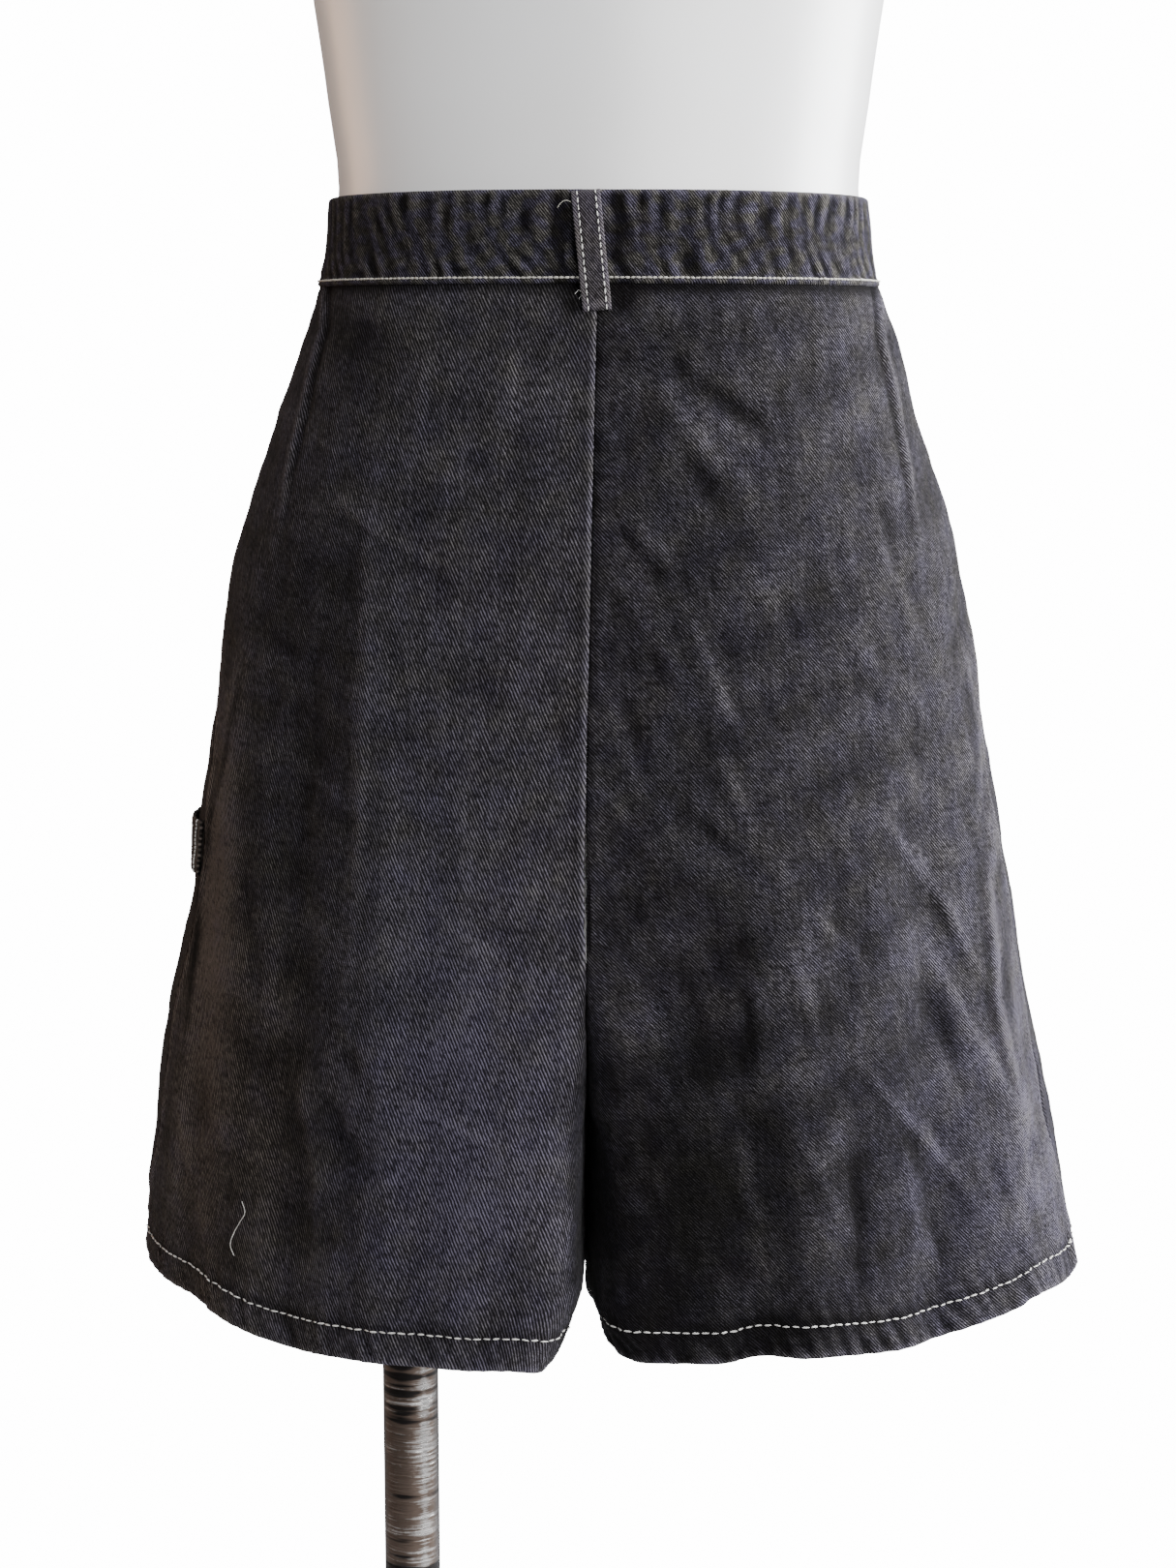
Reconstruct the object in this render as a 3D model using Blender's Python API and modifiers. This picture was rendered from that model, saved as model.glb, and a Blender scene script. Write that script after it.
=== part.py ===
"""Denim skort on a limbless dress form, in metres, +Z up, with the garment's back towards -Y.

Wide shorts legs at the back and front, a skirt panel across the front, a waistband with one belt loop at
the centre back, and a hammer loop at the wearer's left side. The form stands on an offset pole and a plate.
"""
import math

import bmesh
import bpy
import numpy as np
from mathutils import Vector

# Heights, as drops below the top of the waistband
WAIST_TOP = 1.000
BAND_HEIGHT = 0.037
LENGTH = 0.470
SIDE_FORK = 0.300      # where the centre seam starts to run in under the form
CROTCH = 0.375         # where the two leg tubes part
HEM_TURN_UP = 0.0135

# Cloth
WALL = 0.0013
HEM_WALL = 0.0024
BAND_WALL = 0.0024
STRAP_WALL = 0.0015
SEAM_GAP = 0.0003
EDGE_STRIP = 0.0016    # narrow first and last columns, which keep the walls square at a seam
FACE_COLUMNS = 11       # from the side seam to a leg's fullest line
INNER_COLUMNS = 6       # from there to the centre seam or inseam
INNER_CROWD = 1.6       # crowds the inner columns towards the leg's corner
SKIRT_COLUMNS = 28
BAND_COLUMNS = 46
SIDE_SEAM_SET_BACK = 0.030
SET_BACK_FROM = 0.120   # drop where the side seam starts to leave the side line
SET_BACK_OVER = 0.140
LEG_INSET = 0.0036      # the front legs lie this far under the skirt panel at its seams
LEG_HANG = 0.0055       # and this much further in at their hems
LEG_EASE = 0.30         # share of the panel over which they draw in
BAND_PROUD = 0.0005
BAND_OVERLAP = 0.030
BAND_RUN_OUT = 0.030    # length over which the overlap's upper end comes down
PLAY = 0.0003           # clearance of a piece that lies on another
BAND_STEP = BAND_WALL + SEAM_GAP + PLAY

# Straps, closure
LOOP_WIDTH = 0.013
LOOP_LENGTH = 0.048
LOOP_TOP_DROP = 0.0015
LOOP_STAND_OFF = 0.0019
LOOP_EASE = 0.0006
LOOP_STEPS = 12
LOOP_TOP_X = -0.0050
LOOP_LOW_X = -0.0012
HAMMER_DROP = 0.266
HAMMER_WIDTH = 0.024
HAMMER_REACH = 0.088
HAMMER_STAND_OFF = 0.0036
HAMMER_FROM = 0.004     # from the side seam to the strap's sewn end
HAMMER_STEPS = 12
STRAP_TURN = 0.20       # share of a strap's length over which it rises from its sewn end
FLY_WIDTH = 0.036
FLY_LENGTH = 0.145
FLY_LAP = 0.002         # past the centre line
FLY_WALL = 0.0010
FLY_CURVE_FROM = 0.70
BUTTON_RADIUS = 0.0085
BUTTON_HEIGHT = 0.0032
BUTTON_CLEAR = 0.0009

# Form and stand
POLE_X = -0.086
POLE_RADIUS = 0.0127
PLATE_RADIUS = 0.165
PLATE_HEIGHT = 0.008
SOCKET_RADIUS = 0.022
SOCKET_HEIGHT = 0.040
FLANGE_RADIUS = 0.030
FLANGE_HEIGHT = 0.006
EDGE_CHAMFER = 0.002
FORM_SIDES = 32

# One row for each height: half-widths to each side, half-depths of each back leg, of the front and of the
# centre seam, how far a leg's fullest line lies from the centre, how far the centre seam strays to +X, and
# half the gap between the legs.
SHAPE_COLUMNS = ("drop", "left", "right", "back_left", "back_right", "front", "seam", "crest", "stray", "gap")
SHAPE = (
    (0.000, 0.1143, 0.1148, 0.0850, 0.0850, 0.0850, 0.0850, 0.0140, 0.0000, 0.00015),
    (0.037, 0.1195, 0.1200, 0.0885, 0.0885, 0.0885, 0.0885, 0.0140, -0.0006, 0.00015),
    (0.085, 0.1352, 0.1335, 0.0985, 0.0985, 0.0975, 0.0985, 0.0140, -0.0018, 0.00015),
    (0.134, 0.1526, 0.1512, 0.1095, 0.1095, 0.1070, 0.1095, 0.0145, -0.0030, 0.00015),
    (0.163, 0.1600, 0.1586, 0.1145, 0.1145, 0.1115, 0.1145, 0.0150, -0.0036, 0.00015),
    (0.219, 0.1684, 0.1683, 0.1215, 0.1215, 0.1180, 0.1215, 0.0170, -0.0050, 0.00015),
    (0.289, 0.1781, 0.1812, 0.1288, 0.1290, 0.1240, 0.1275, 0.0200, -0.0060, 0.00015),
    (0.351, 0.1917, 0.1927, 0.1355, 0.1345, 0.1300, 0.1310, 0.0250, -0.0048, 0.00015),
    (0.387, 0.1973, 0.2010, 0.1395, 0.1360, 0.1330, 0.1330, 0.0285, -0.0044, 0.00020),
    (0.423, 0.2013, 0.2081, 0.1435, 0.1365, 0.1360, 0.1340, 0.0315, -0.0042, 0.00030),
    (0.470, 0.2045, 0.2200, 0.1480, 0.1365, 0.1390, 0.1350, 0.0345, -0.0040, 0.00050),
)
OUTER_POWER_TOP = 2.05
OUTER_POWER_HEM = 1.78
INNER_POWER = {-1: 3.0, 1: 4.0}

# One row for each fold: where its line starts and ends across and down, its half-width and its depth
# inwards (a ridge is negative), and the face it lies on.
FOLD_COLUMNS = ("face", "x_high", "drop_high", "x_low", "drop_low", "half_width", "depth")
FOLDS = (
    ("back", -0.128, 0.110, -0.132, 0.480, 0.018, 0.0045),
    ("back", -0.090, 0.100, -0.088, 0.480, 0.014, -0.0025),
    ("back", -0.168, 0.220, -0.176, 0.480, 0.011, 0.0025),
    ("back", 0.034, 0.230, 0.037, 0.480, 0.020, 0.0028),
    ("back", 0.056, 0.300, 0.069, 0.480, 0.010, 0.0060),
    ("back", 0.080, 0.240, 0.088, 0.480, 0.015, -0.0035),
    ("back", 0.132, 0.180, 0.146, 0.480, 0.013, 0.0040),
    ("back", 0.162, 0.210, 0.184, 0.480, 0.010, -0.0028),
    ("front", -0.120, 0.200, -0.135, 0.480, 0.020, 0.0060),
    ("front", -0.050, 0.230, -0.062, 0.480, 0.018, -0.0040),
    ("front", 0.030, 0.210, 0.022, 0.480, 0.018, 0.0050),
    ("front", 0.112, 0.200, 0.130, 0.480, 0.020, 0.0060),
)
FOLD_FADE = 0.110

# One row for each height of the form: height, half-width, half-depth and how far its centre lies forward.
FORM = (
    (0.6800, 0.1180, 0.0660, 0.000),
    (0.6860, 0.1270, 0.0740, 0.000),
    (0.7050, 0.1380, 0.0850, 0.000),
    (0.7400, 0.1460, 0.0950, 0.000),
    (0.7800, 0.1510, 0.1010, 0.000),
    (0.8200, 0.1520, 0.1035, 0.000),
    (0.8600, 0.1455, 0.1000, 0.000),
    (0.9000, 0.1315, 0.0915, 0.000),
    (0.9400, 0.1165, 0.0835, 0.000),
    (0.9620, 0.1128, 0.0825, 0.000),
    (0.9850, 0.1137, 0.0836, 0.000),
    (1.0000, 0.1113, 0.0818, 0.000),
    (1.0400, 0.1152, 0.0828, 0.002),
    (1.0830, 0.1213, 0.0865, 0.006),
    (1.1400, 0.1310, 0.0960, 0.011),
    (1.2000, 0.1390, 0.1050, 0.015),
    (1.2600, 0.1430, 0.1020, 0.012),
    (1.3200, 0.1540, 0.0870, 0.005),
    (1.3600, 0.1600, 0.0760, 0.000),
    (1.3850, 0.1480, 0.0680, -0.002),
    (1.4050, 0.1120, 0.0600, -0.003),
    (1.4200, 0.0760, 0.0540, -0.003),
    (1.4400, 0.0580, 0.0510, 0.000),
    (1.4800, 0.0530, 0.0500, 0.004),
)

LEFT = -1
RIGHT = 1
SAMPLES = 40
FOLD_RUN_IN = 12        # samples over which the folds fade towards a seam


def clear_scene():
    for item in list(bpy.data.objects):
        bpy.data.objects.remove(item, do_unlink=True)


def smooth_step(value):
    value = min(max(value, 0.0), 1.0)
    return value * value * (3.0 - 2.0 * value)


def read_table(table, columns, column, at):
    """Value of a column at a height, on a smooth curve through the table's rows."""
    places = np.array([row[0] for row in table])
    values = np.array([row[columns.index(column)] for row in table])
    slopes = np.gradient(values, places)
    at = min(max(at, places[0]), places[-1])
    upper = int(np.searchsorted(places, at, side="right"))
    upper = min(max(upper, 1), len(places) - 1)
    start, end = places[upper - 1], places[upper]
    span = end - start
    t = (at - start) / span
    low = (2 * t ** 3 - 3 * t ** 2 + 1) * values[upper - 1] + (t ** 3 - 2 * t ** 2 + t) * span * slopes[upper - 1]
    high = (3 * t ** 2 - 2 * t ** 3) * values[upper] + (t ** 3 - t ** 2) * span * slopes[upper]
    return low + high


def shape(column, drop):
    return read_table(SHAPE, SHAPE_COLUMNS, column, drop)


def centre_run(drop):
    """How far the centre seam has run from the face to the middle: 0 above the fork, 1 at the crotch."""
    t = min(max((drop - SIDE_FORK) / (CROTCH - SIDE_FORK), 0.0), 1.0)
    return 1.0 - math.sqrt(1.0 - t * t)


def fold_depth(face, x, drop):
    """How far the folds push the cloth inwards at a point of a face."""
    depth = 0.0
    for row in FOLDS:
        fold = dict(zip(FOLD_COLUMNS, row))
        if fold["face"] != face:
            continue
        along = (drop - fold["drop_high"]) / (fold["drop_low"] - fold["drop_high"])
        centre = fold["x_high"] + (fold["x_low"] - fold["x_high"]) * max(along, 0.0)
        grown = smooth_step((drop - fold["drop_high"]) / FOLD_FADE)
        across = (x - centre) / fold["half_width"]
        depth += fold["depth"] * grown * math.exp(-across * across)
    return depth


def plan_normals(points):
    """Unit vectors square to a plan curve, on its left as it runs."""
    tangents = np.gradient(points, axis=0)
    tangents /= np.linalg.norm(tangents, axis=1)[:, None]
    return np.column_stack([-tangents[:, 1], tangents[:, 0]])


def half_outline(side, drop, face, split):
    """Plan curve of one quarter of the garment, from the side line to the centre edge."""
    width = shape("left" if side == LEFT else "right", drop)
    gap = shape("gap", drop)
    depth = shape("front", drop)
    seam_depth = depth
    if face == "back":
        depth = shape("back_left" if side == LEFT else "back_right", drop)
        seam_depth = shape("seam", drop)
    crest = shape("crest", drop)
    pinch = depth - seam_depth * (1.0 - centre_run(drop)) if split else 0.0
    pinch = min(pinch, depth - SEAM_GAP / 2)
    end = gap if split else 0.0
    outer = 2.0 / (OUTER_POWER_TOP + (OUTER_POWER_HEM - OUTER_POWER_TOP) * drop / LENGTH)
    inner = 2.0 / INNER_POWER[side]
    points = []
    for step in range(SAMPLES + 1):
        angle = 0.5 * math.pi * step / SAMPLES
        along = abs(math.cos(angle)) ** outer if step < SAMPLES else 0.0
        points.append((crest + (width - crest) * along, depth * math.sin(angle) ** outer))
    for step in range(1, SAMPLES + 1):
        angle = 0.5 * math.pi * step / SAMPLES
        fall = 1.0 - (abs(math.cos(angle)) ** inner if step < SAMPLES else 0.0)
        points.append((crest - (crest - end) * math.sin(angle) ** inner, depth - pinch * fall))
    points = np.array(points)
    folded = plan_normals(points)
    for index, (x, _) in enumerate(points):
        near_side = smooth_step(index / FOLD_RUN_IN)
        near_seam = smooth_step((len(points) - 1 - index) / FOLD_RUN_IN)
        points[index] += folded[index] * fold_depth(face, side * x, drop) * near_side * near_seam
    points *= np.array([side, 1.0 if face == "front" else -1.0])
    points[:, 0] += shape("stray", drop) * (1.0 - np.minimum(np.abs(points[:, 0]) / width, 1.0)) ** 2
    return points


def lengths(points):
    steps = np.linalg.norm(np.diff(points, axis=0), axis=1)
    return np.concatenate([[0.0], np.cumsum(steps)])


def cut(points, start, end):
    """The stretch of a plan curve between two distances along it."""
    run = lengths(points)
    inside = (run > start + 1e-6) & (run < end - 1e-6)
    places = np.concatenate([[start], run[inside], [end]])
    return resample(points, places)


def resample(points, places):
    run = lengths(points)
    return np.column_stack([np.interp(places, run, points[:, axis]) for axis in (0, 1)])


def side_set_back(drop):
    """How far behind the side line the side seam lies."""
    leaving = smooth_step((drop - SET_BACK_FROM) / SET_BACK_OVER)
    return SIDE_SEAM_SET_BACK * leaving * smooth_step((LENGTH + 0.030 - drop) / 0.100)


def back_outline(side, drop):
    outline = half_outline(side, drop, "back", True)
    return cut(outline, side_set_back(drop), lengths(outline)[-1])


def front_outline(side, drop, split):
    """From the side seam, round the side line, to the centre front."""
    behind = half_outline(side, drop, "back", split)
    behind = cut(behind, 0.0, side_set_back(drop) + 1e-5)[::-1]
    ahead = half_outline(side, drop, "front", split)
    return np.concatenate([behind, ahead[1:]])


def leg_outline(side, drop):
    """Front leg under the skirt panel: the front outline drawn in towards the leg's own middle line."""
    outline = front_outline(side, drop, True)
    run = lengths(outline) / lengths(outline)[-1]
    hang = LEG_HANG * smooth_step((drop - 0.10) / 0.30)
    inset = np.array([LEG_INSET + hang * smooth_step(value / LEG_EASE) for value in run])
    width = shape("left" if side == LEFT else "right", drop)
    depth = shape("front", drop)
    return outline * (1.0 - np.column_stack([inset / width, inset / depth]))


def skirt_outline(drop):
    """Skirt panel across the front, from the left side seam to the right one."""
    left = front_outline(LEFT, drop, False)
    right = front_outline(RIGHT, drop, False)[::-1]
    return np.concatenate([left, right[1:]])


def band_outline(drop):
    """Waistband, from its upper end at the centre front round the back to its lower end under it."""
    left = np.concatenate([half_outline(LEFT, drop, "front", False)[::-1],
                           half_outline(LEFT, drop, "back", False)[1:]])
    right = np.concatenate([half_outline(RIGHT, drop, "back", False)[::-1],
                            half_outline(RIGHT, drop, "front", False)[1:]])
    ring = np.concatenate([left, right[1:]])
    total = lengths(ring)[-1]
    ring = np.concatenate([cut(ring, total - BAND_OVERLAP / 2, total), ring[1:],
                           cut(ring, 0.0, BAND_OVERLAP / 2)[1:]])
    run = lengths(ring)
    step = np.array([1.0 - smooth_step((value - BAND_OVERLAP * 1.1) / BAND_RUN_OUT) for value in run])
    outward = plan_normals(ring)
    outward *= -1.0 if outward[0][1] < 0 else 1.0
    return ring + outward * (BAND_PROUD + BAND_STEP * step)[:, None]


def edge_places(total, columns):
    """Distances across a panel: even ones, with a narrow strip at each sewn edge."""
    start = SEAM_GAP / 2
    end = total - SEAM_GAP / 2
    middle = np.linspace(start + EDGE_STRIP, end - EDGE_STRIP, columns)
    return np.concatenate([[start], middle, [end]])


def leg_places(outline):
    """Distances across a leg panel: even ones to its fullest line, then closer round its inner corner."""
    run = lengths(outline)
    crest = run[-1 - SAMPLES]
    start = SEAM_GAP / 2
    end = run[-1] - SEAM_GAP / 2
    face = np.linspace(start + EDGE_STRIP, crest, FACE_COLUMNS)
    shares = (np.arange(1, INNER_COLUMNS + 1) / INNER_COLUMNS) ** INNER_CROWD
    return np.concatenate([[start], face, crest + (end - EDGE_STRIP - crest) * shares, [end]])


def panel_drops():
    """Drops of a leg panel's rows: even ones, closer where the seam runs under and at the hem."""
    upper = [BAND_HEIGHT + SEAM_GAP, BAND_HEIGHT + SEAM_GAP + EDGE_STRIP]
    upper += list(np.linspace(0.062, SIDE_FORK, 10))
    under = [SIDE_FORK + (CROTCH - SIDE_FORK) * math.sin(math.radians(angle)) for angle in (22, 38, 52, 65, 78, 90)]
    lower = list(np.linspace(CROTCH + 0.020, LENGTH - HEM_TURN_UP, 4))
    return upper + under + lower + [LENGTH - HEM_TURN_UP + 0.0015, LENGTH]


def make_material(name, colour, roughness, metallic=0.0):
    material = bpy.data.materials.new(name)
    material.use_nodes = True
    surface = material.node_tree.nodes["Principled BSDF"]
    surface.inputs["Base Color"].default_value = (*colour, 1.0)
    surface.inputs["Roughness"].default_value = roughness
    surface.inputs["Metallic"].default_value = metallic
    material.diffuse_color = (*colour, 1.0)
    return material


def add_object(name, mesh, material, collection):
    item = bpy.data.objects.new(name, mesh)
    mesh.materials.append(material)
    collection.objects.link(item)
    return item


def grid_mesh(name, rows, outward_check):
    """Open grid of faces whose normals agree with the given outward direction at its first face."""
    mesh = bpy.data.meshes.new(name)
    sheet = bmesh.new()
    verts = [[sheet.verts.new(point) for point in row] for row in rows]
    for upper, lower in zip(verts, verts[1:]):
        for index in range(len(upper) - 1):
            sheet.faces.new((upper[index], upper[index + 1], lower[index + 1], lower[index]))
    sheet.normal_update()
    sheet.faces.ensure_lookup_table()
    middle = sheet.faces[len(sheet.faces) // 2]
    if middle.normal.dot(outward_check(middle.calc_center_median())) < 0:
        bmesh.ops.reverse_faces(sheet, faces=sheet.faces[:])
    for face in sheet.faces:
        face.smooth = True
    sheet.to_mesh(mesh)
    sheet.free()
    return mesh


def away_from_axis(point):
    return Vector((point.x, point.y, 0.0))


def away_from_leg(side):
    centre = Vector((side * 0.10, 0.0, 0.0))
    return lambda point: Vector((point.x, point.y, 0.0)) - centre


def thicken(item, wall, inwards=True):
    solid = item.modifiers.new("Wall", "SOLIDIFY")
    solid.thickness = wall
    solid.offset = -1.0 if inwards else 1.0
    solid.use_rim = True
    return solid


def thicken_with_hem(item, drops, columns):
    """Wall of a panel that is thicker over the hem's turn-up."""
    solid = thicken(item, HEM_WALL)
    solid.thickness_vertex_group = WALL / HEM_WALL
    group = item.vertex_groups.new(name="hem")
    for row, drop in enumerate(drops):
        if drop > LENGTH - HEM_TURN_UP + 0.0005:
            group.add([row * columns + column for column in range(columns)], 1.0, "ADD")
    solid.vertex_group = "hem"


def lift_rows(outline_at, drops, places_on):
    """Rows of points on the cloth's outer face, one row for each drop."""
    rows = []
    for drop in drops:
        outline = outline_at(drop)
        points = resample(outline, places_on(outline))
        rows.append([Vector((x, y, WAIST_TOP - drop)) for x, y in points])
    return rows


def make_leg_panel(name, side, outline_at, material, collection):
    drops = panel_drops()
    rows = lift_rows(lambda drop: outline_at(side, drop), drops, leg_places)
    item = add_object(name, grid_mesh(name, rows, away_from_leg(side)), material, collection)
    thicken_with_hem(item, drops, len(rows[0]))
    return item


def make_skirt(material, collection):
    drops = [drop for drop in panel_drops() if not CROTCH - 0.010 < drop < CROTCH - 0.0005]
    rows = lift_rows(skirt_outline, drops, lambda outline: edge_places(lengths(outline)[-1], SKIRT_COLUMNS))
    item = add_object("front_skirt", grid_mesh("front_skirt", rows, away_from_axis), material, collection)
    thicken_with_hem(item, drops, len(rows[0]))
    return item


def make_waistband(material, collection):
    drops = (0.0, 0.0016, 0.0130, 0.0250, 0.0352, BAND_HEIGHT)
    easing = (0.0005, 0.0, 0.0, 0.0, 0.0, 0.0003)
    rows = []
    for drop, ease in zip(drops, easing):
        outline = band_outline(drop)
        total = lengths(outline)[-1]
        points = resample(outline, np.linspace(0.0, total, BAND_COLUMNS))
        scale = 1.0 - ease / 0.1
        rows.append([Vector((x * scale, y * scale, WAIST_TOP - drop)) for x, y in points])
    item = add_object("waistband", grid_mesh("waistband", rows, away_from_axis), material, collection)
    thicken(item, BAND_WALL)
    return item


def strap_mesh(name, path, across, width, outward_check):
    """Flat strap along a list of middle points, with the width direction given for each."""
    rows = []
    for point, direction in zip(path, across):
        offset = direction.normalized() * width / 2
        rows.append([point - offset, point + offset])
    return grid_mesh(name, rows, outward_check)


def make_belt_loop(material, collection):
    """Single loop over the waistband at the centre back, with both ends turned under."""
    path = []
    across = []
    for step in range(LOOP_STEPS + 1):
        share = step / LOOP_STEPS
        drop = LOOP_TOP_DROP + (LOOP_LENGTH - LOOP_TOP_DROP) * share
        rise = smooth_step(share / STRAP_TURN) * smooth_step((1.0 - share) / STRAP_TURN)
        base = shape("seam", drop) + (BAND_PROUD if drop < BAND_HEIGHT + LOOP_TOP_DROP else 0.0)
        x = LOOP_TOP_X + (LOOP_LOW_X - LOOP_TOP_X) * share
        ease = LOOP_EASE if step < LOOP_STEPS else SEAM_GAP
        path.append(Vector((x, -(base + ease + LOOP_STAND_OFF * rise), WAIST_TOP - drop)))
        across.append(Vector((1.0, 0.0, (LOOP_LOW_X - LOOP_TOP_X) / LOOP_LENGTH)))
    item = add_object("belt_loop", strap_mesh("belt_loop", path, across, LOOP_WIDTH, away_from_axis),
                      material, collection)
    thicken(item, STRAP_WALL, inwards=False)
    return item


def make_hammer_loop(material, collection):
    """Strap round the wearer's left thigh, sewn down at both ends and standing off between them."""
    rows = []
    shares = np.linspace(0.0, 1.0, HAMMER_STEPS + 1)
    rise = np.array([smooth_step(share / STRAP_TURN) * smooth_step((1.0 - share) / STRAP_TURN) for share in shares])
    places = HAMMER_FROM + HAMMER_REACH * shares
    for drop in (HAMMER_DROP, HAMMER_DROP + HAMMER_WIDTH / 2, HAMMER_DROP + HAMMER_WIDTH):
        outline = front_outline(LEFT, drop, False)
        outward = plan_normals(outline)
        outward *= -1.0 if outward[0][0] > 0 else 1.0
        run = lengths(outline)
        points = resample(outline, places)
        across = np.column_stack([np.interp(places, run, outward[:, axis]) for axis in (0, 1)])
        lifted = points + across * (SEAM_GAP + PLAY + HAMMER_STAND_OFF * rise)[:, None]
        rows.append([Vector((x, y, WAIST_TOP - drop)) for x, y in lifted])
    item = add_object("hammer_loop", grid_mesh("hammer_loop", rows, away_from_axis), material, collection)
    thicken(item, STRAP_WALL, inwards=False)
    return item


def make_fly(material, collection):
    """Fly flap on the skirt panel, below the waistband at the centre front."""
    shares = list(np.linspace(0.01, FLY_CURVE_FROM, 5)) + [0.79, 0.86, 0.92, 0.97, 1.0]
    rows = []
    for share in shares:
        drop = BAND_HEIGHT + FLY_LENGTH * share
        outline = skirt_outline(drop)
        run = lengths(outline)
        middle = float(np.interp(0.0, outline[:, 0], run))
        curve = max(share - FLY_CURVE_FROM, 0.0) / (1.02 - FLY_CURVE_FROM)
        places = np.linspace(middle - FLY_WIDTH * math.sqrt(1.0 - curve * curve), middle + FLY_LAP, 6)
        points = resample(outline, places)
        outward = plan_normals(points)
        outward *= -1.0 if outward[0][1] < 0 else 1.0
        lifted = points + outward * (SEAM_GAP + PLAY)
        rows.append([Vector((x, y, WAIST_TOP - drop)) for x, y in lifted])
    item = add_object("fly", grid_mesh("fly", rows, away_from_axis), material, collection)
    thicken(item, FLY_WALL, inwards=False)
    return item


def screw(item, steps=32):
    turn = item.modifiers.new("Turn", "SCREW")
    turn.axis = "Z"
    turn.steps = steps
    turn.render_steps = steps
    turn.use_merge_vertices = True
    turn.merge_threshold = 0.0001


def turned(name, profile, material, collection, steps=32):
    """Solid turned about Z from a profile of (radius, height) points, listed from the top down."""
    mesh = bpy.data.meshes.new(name)
    points = [(radius, 0.0, height) for radius, height in profile]
    mesh.from_pydata(points, [(index, index + 1) for index in range(len(points) - 1)], [])
    item = add_object(name, mesh, material, collection)
    screw(item, steps)
    return item


def make_button(material, collection):
    """Domed shank button on the waistband's overlap, turned about its own axis along +Y."""
    radius = BUTTON_RADIUS
    height = BUTTON_HEIGHT
    profile = [(0.0, height), (radius * 0.55, height * 0.96), (radius * 0.85, height * 0.78),
               (radius, height * 0.45), (radius * 0.96, height * 0.2), (radius * 0.5, 0.0), (0.0, 0.0)]
    item = turned("button", profile, material, collection, 24)
    drop = BAND_HEIGHT / 2
    surface = shape("front", drop) + BAND_PROUD + BAND_STEP
    item.location = (0.0, surface + BUTTON_CLEAR, WAIST_TOP - drop)
    item.rotation_euler = (-math.pi / 2, 0.0, 0.0)
    return item


def form_ring(half_width, half_depth, forward, height):
    ring = []
    for index in range(FORM_SIDES):
        angle = 2.0 * math.pi * index / FORM_SIDES
        ring.append(Vector((half_width * math.cos(angle), forward + half_depth * math.sin(angle), height)))
    return ring


def make_form(material, collection):
    """Smooth torso with flat caps at the neck and underside."""
    mesh = bpy.data.meshes.new("dress_form")
    solid = bmesh.new()
    rings = []
    for height, half_width, half_depth, forward in FORM:
        rings.append([solid.verts.new(point) for point in form_ring(half_width, half_depth, forward, height)])
    for low, high in zip(rings, rings[1:]):
        for index in range(FORM_SIDES):
            after = (index + 1) % FORM_SIDES
            solid.faces.new((low[index], low[after], high[after], high[index])).smooth = True
    solid.faces.new(rings[0][::-1])
    solid.faces.new(rings[-1])
    bmesh.ops.recalc_face_normals(solid, faces=solid.faces[:])
    solid.to_mesh(mesh)
    solid.free()
    return add_object("dress_form", mesh, material, collection)


def make_stand(material, collection):
    underside = FORM[0][0]
    plate = [(0.0, PLATE_HEIGHT), (PLATE_RADIUS - EDGE_CHAMFER, PLATE_HEIGHT),
             (PLATE_RADIUS, PLATE_HEIGHT - EDGE_CHAMFER), (PLATE_RADIUS, 0.0), (0.0, 0.0)]
    turned("base_plate", plate, material, collection, 64)
    inner = POLE_RADIUS + SEAM_GAP
    low = PLATE_HEIGHT + SEAM_GAP
    high = low + SOCKET_HEIGHT
    socket = [(inner, high), (SOCKET_RADIUS - EDGE_CHAMFER, high), (SOCKET_RADIUS, high - EDGE_CHAMFER),
              (SOCKET_RADIUS, low), (inner, low), (inner, high)]
    turned("pole_socket", socket, material, collection).location.x = POLE_X
    flange_low = underside - SEAM_GAP - FLANGE_HEIGHT
    flange = [(0.0, FLANGE_HEIGHT), (FLANGE_RADIUS, FLANGE_HEIGHT), (FLANGE_RADIUS, 0.0), (0.0, 0.0)]
    top_flange = turned("pole_flange", flange, material, collection)
    top_flange.location = (POLE_X, 0.0, flange_low)
    pole_top = flange_low - SEAM_GAP
    pole = [(0.0, pole_top), (POLE_RADIUS, pole_top), (POLE_RADIUS, low), (0.0, low)]
    turned("pole", pole, material, collection).location.x = POLE_X


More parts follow.
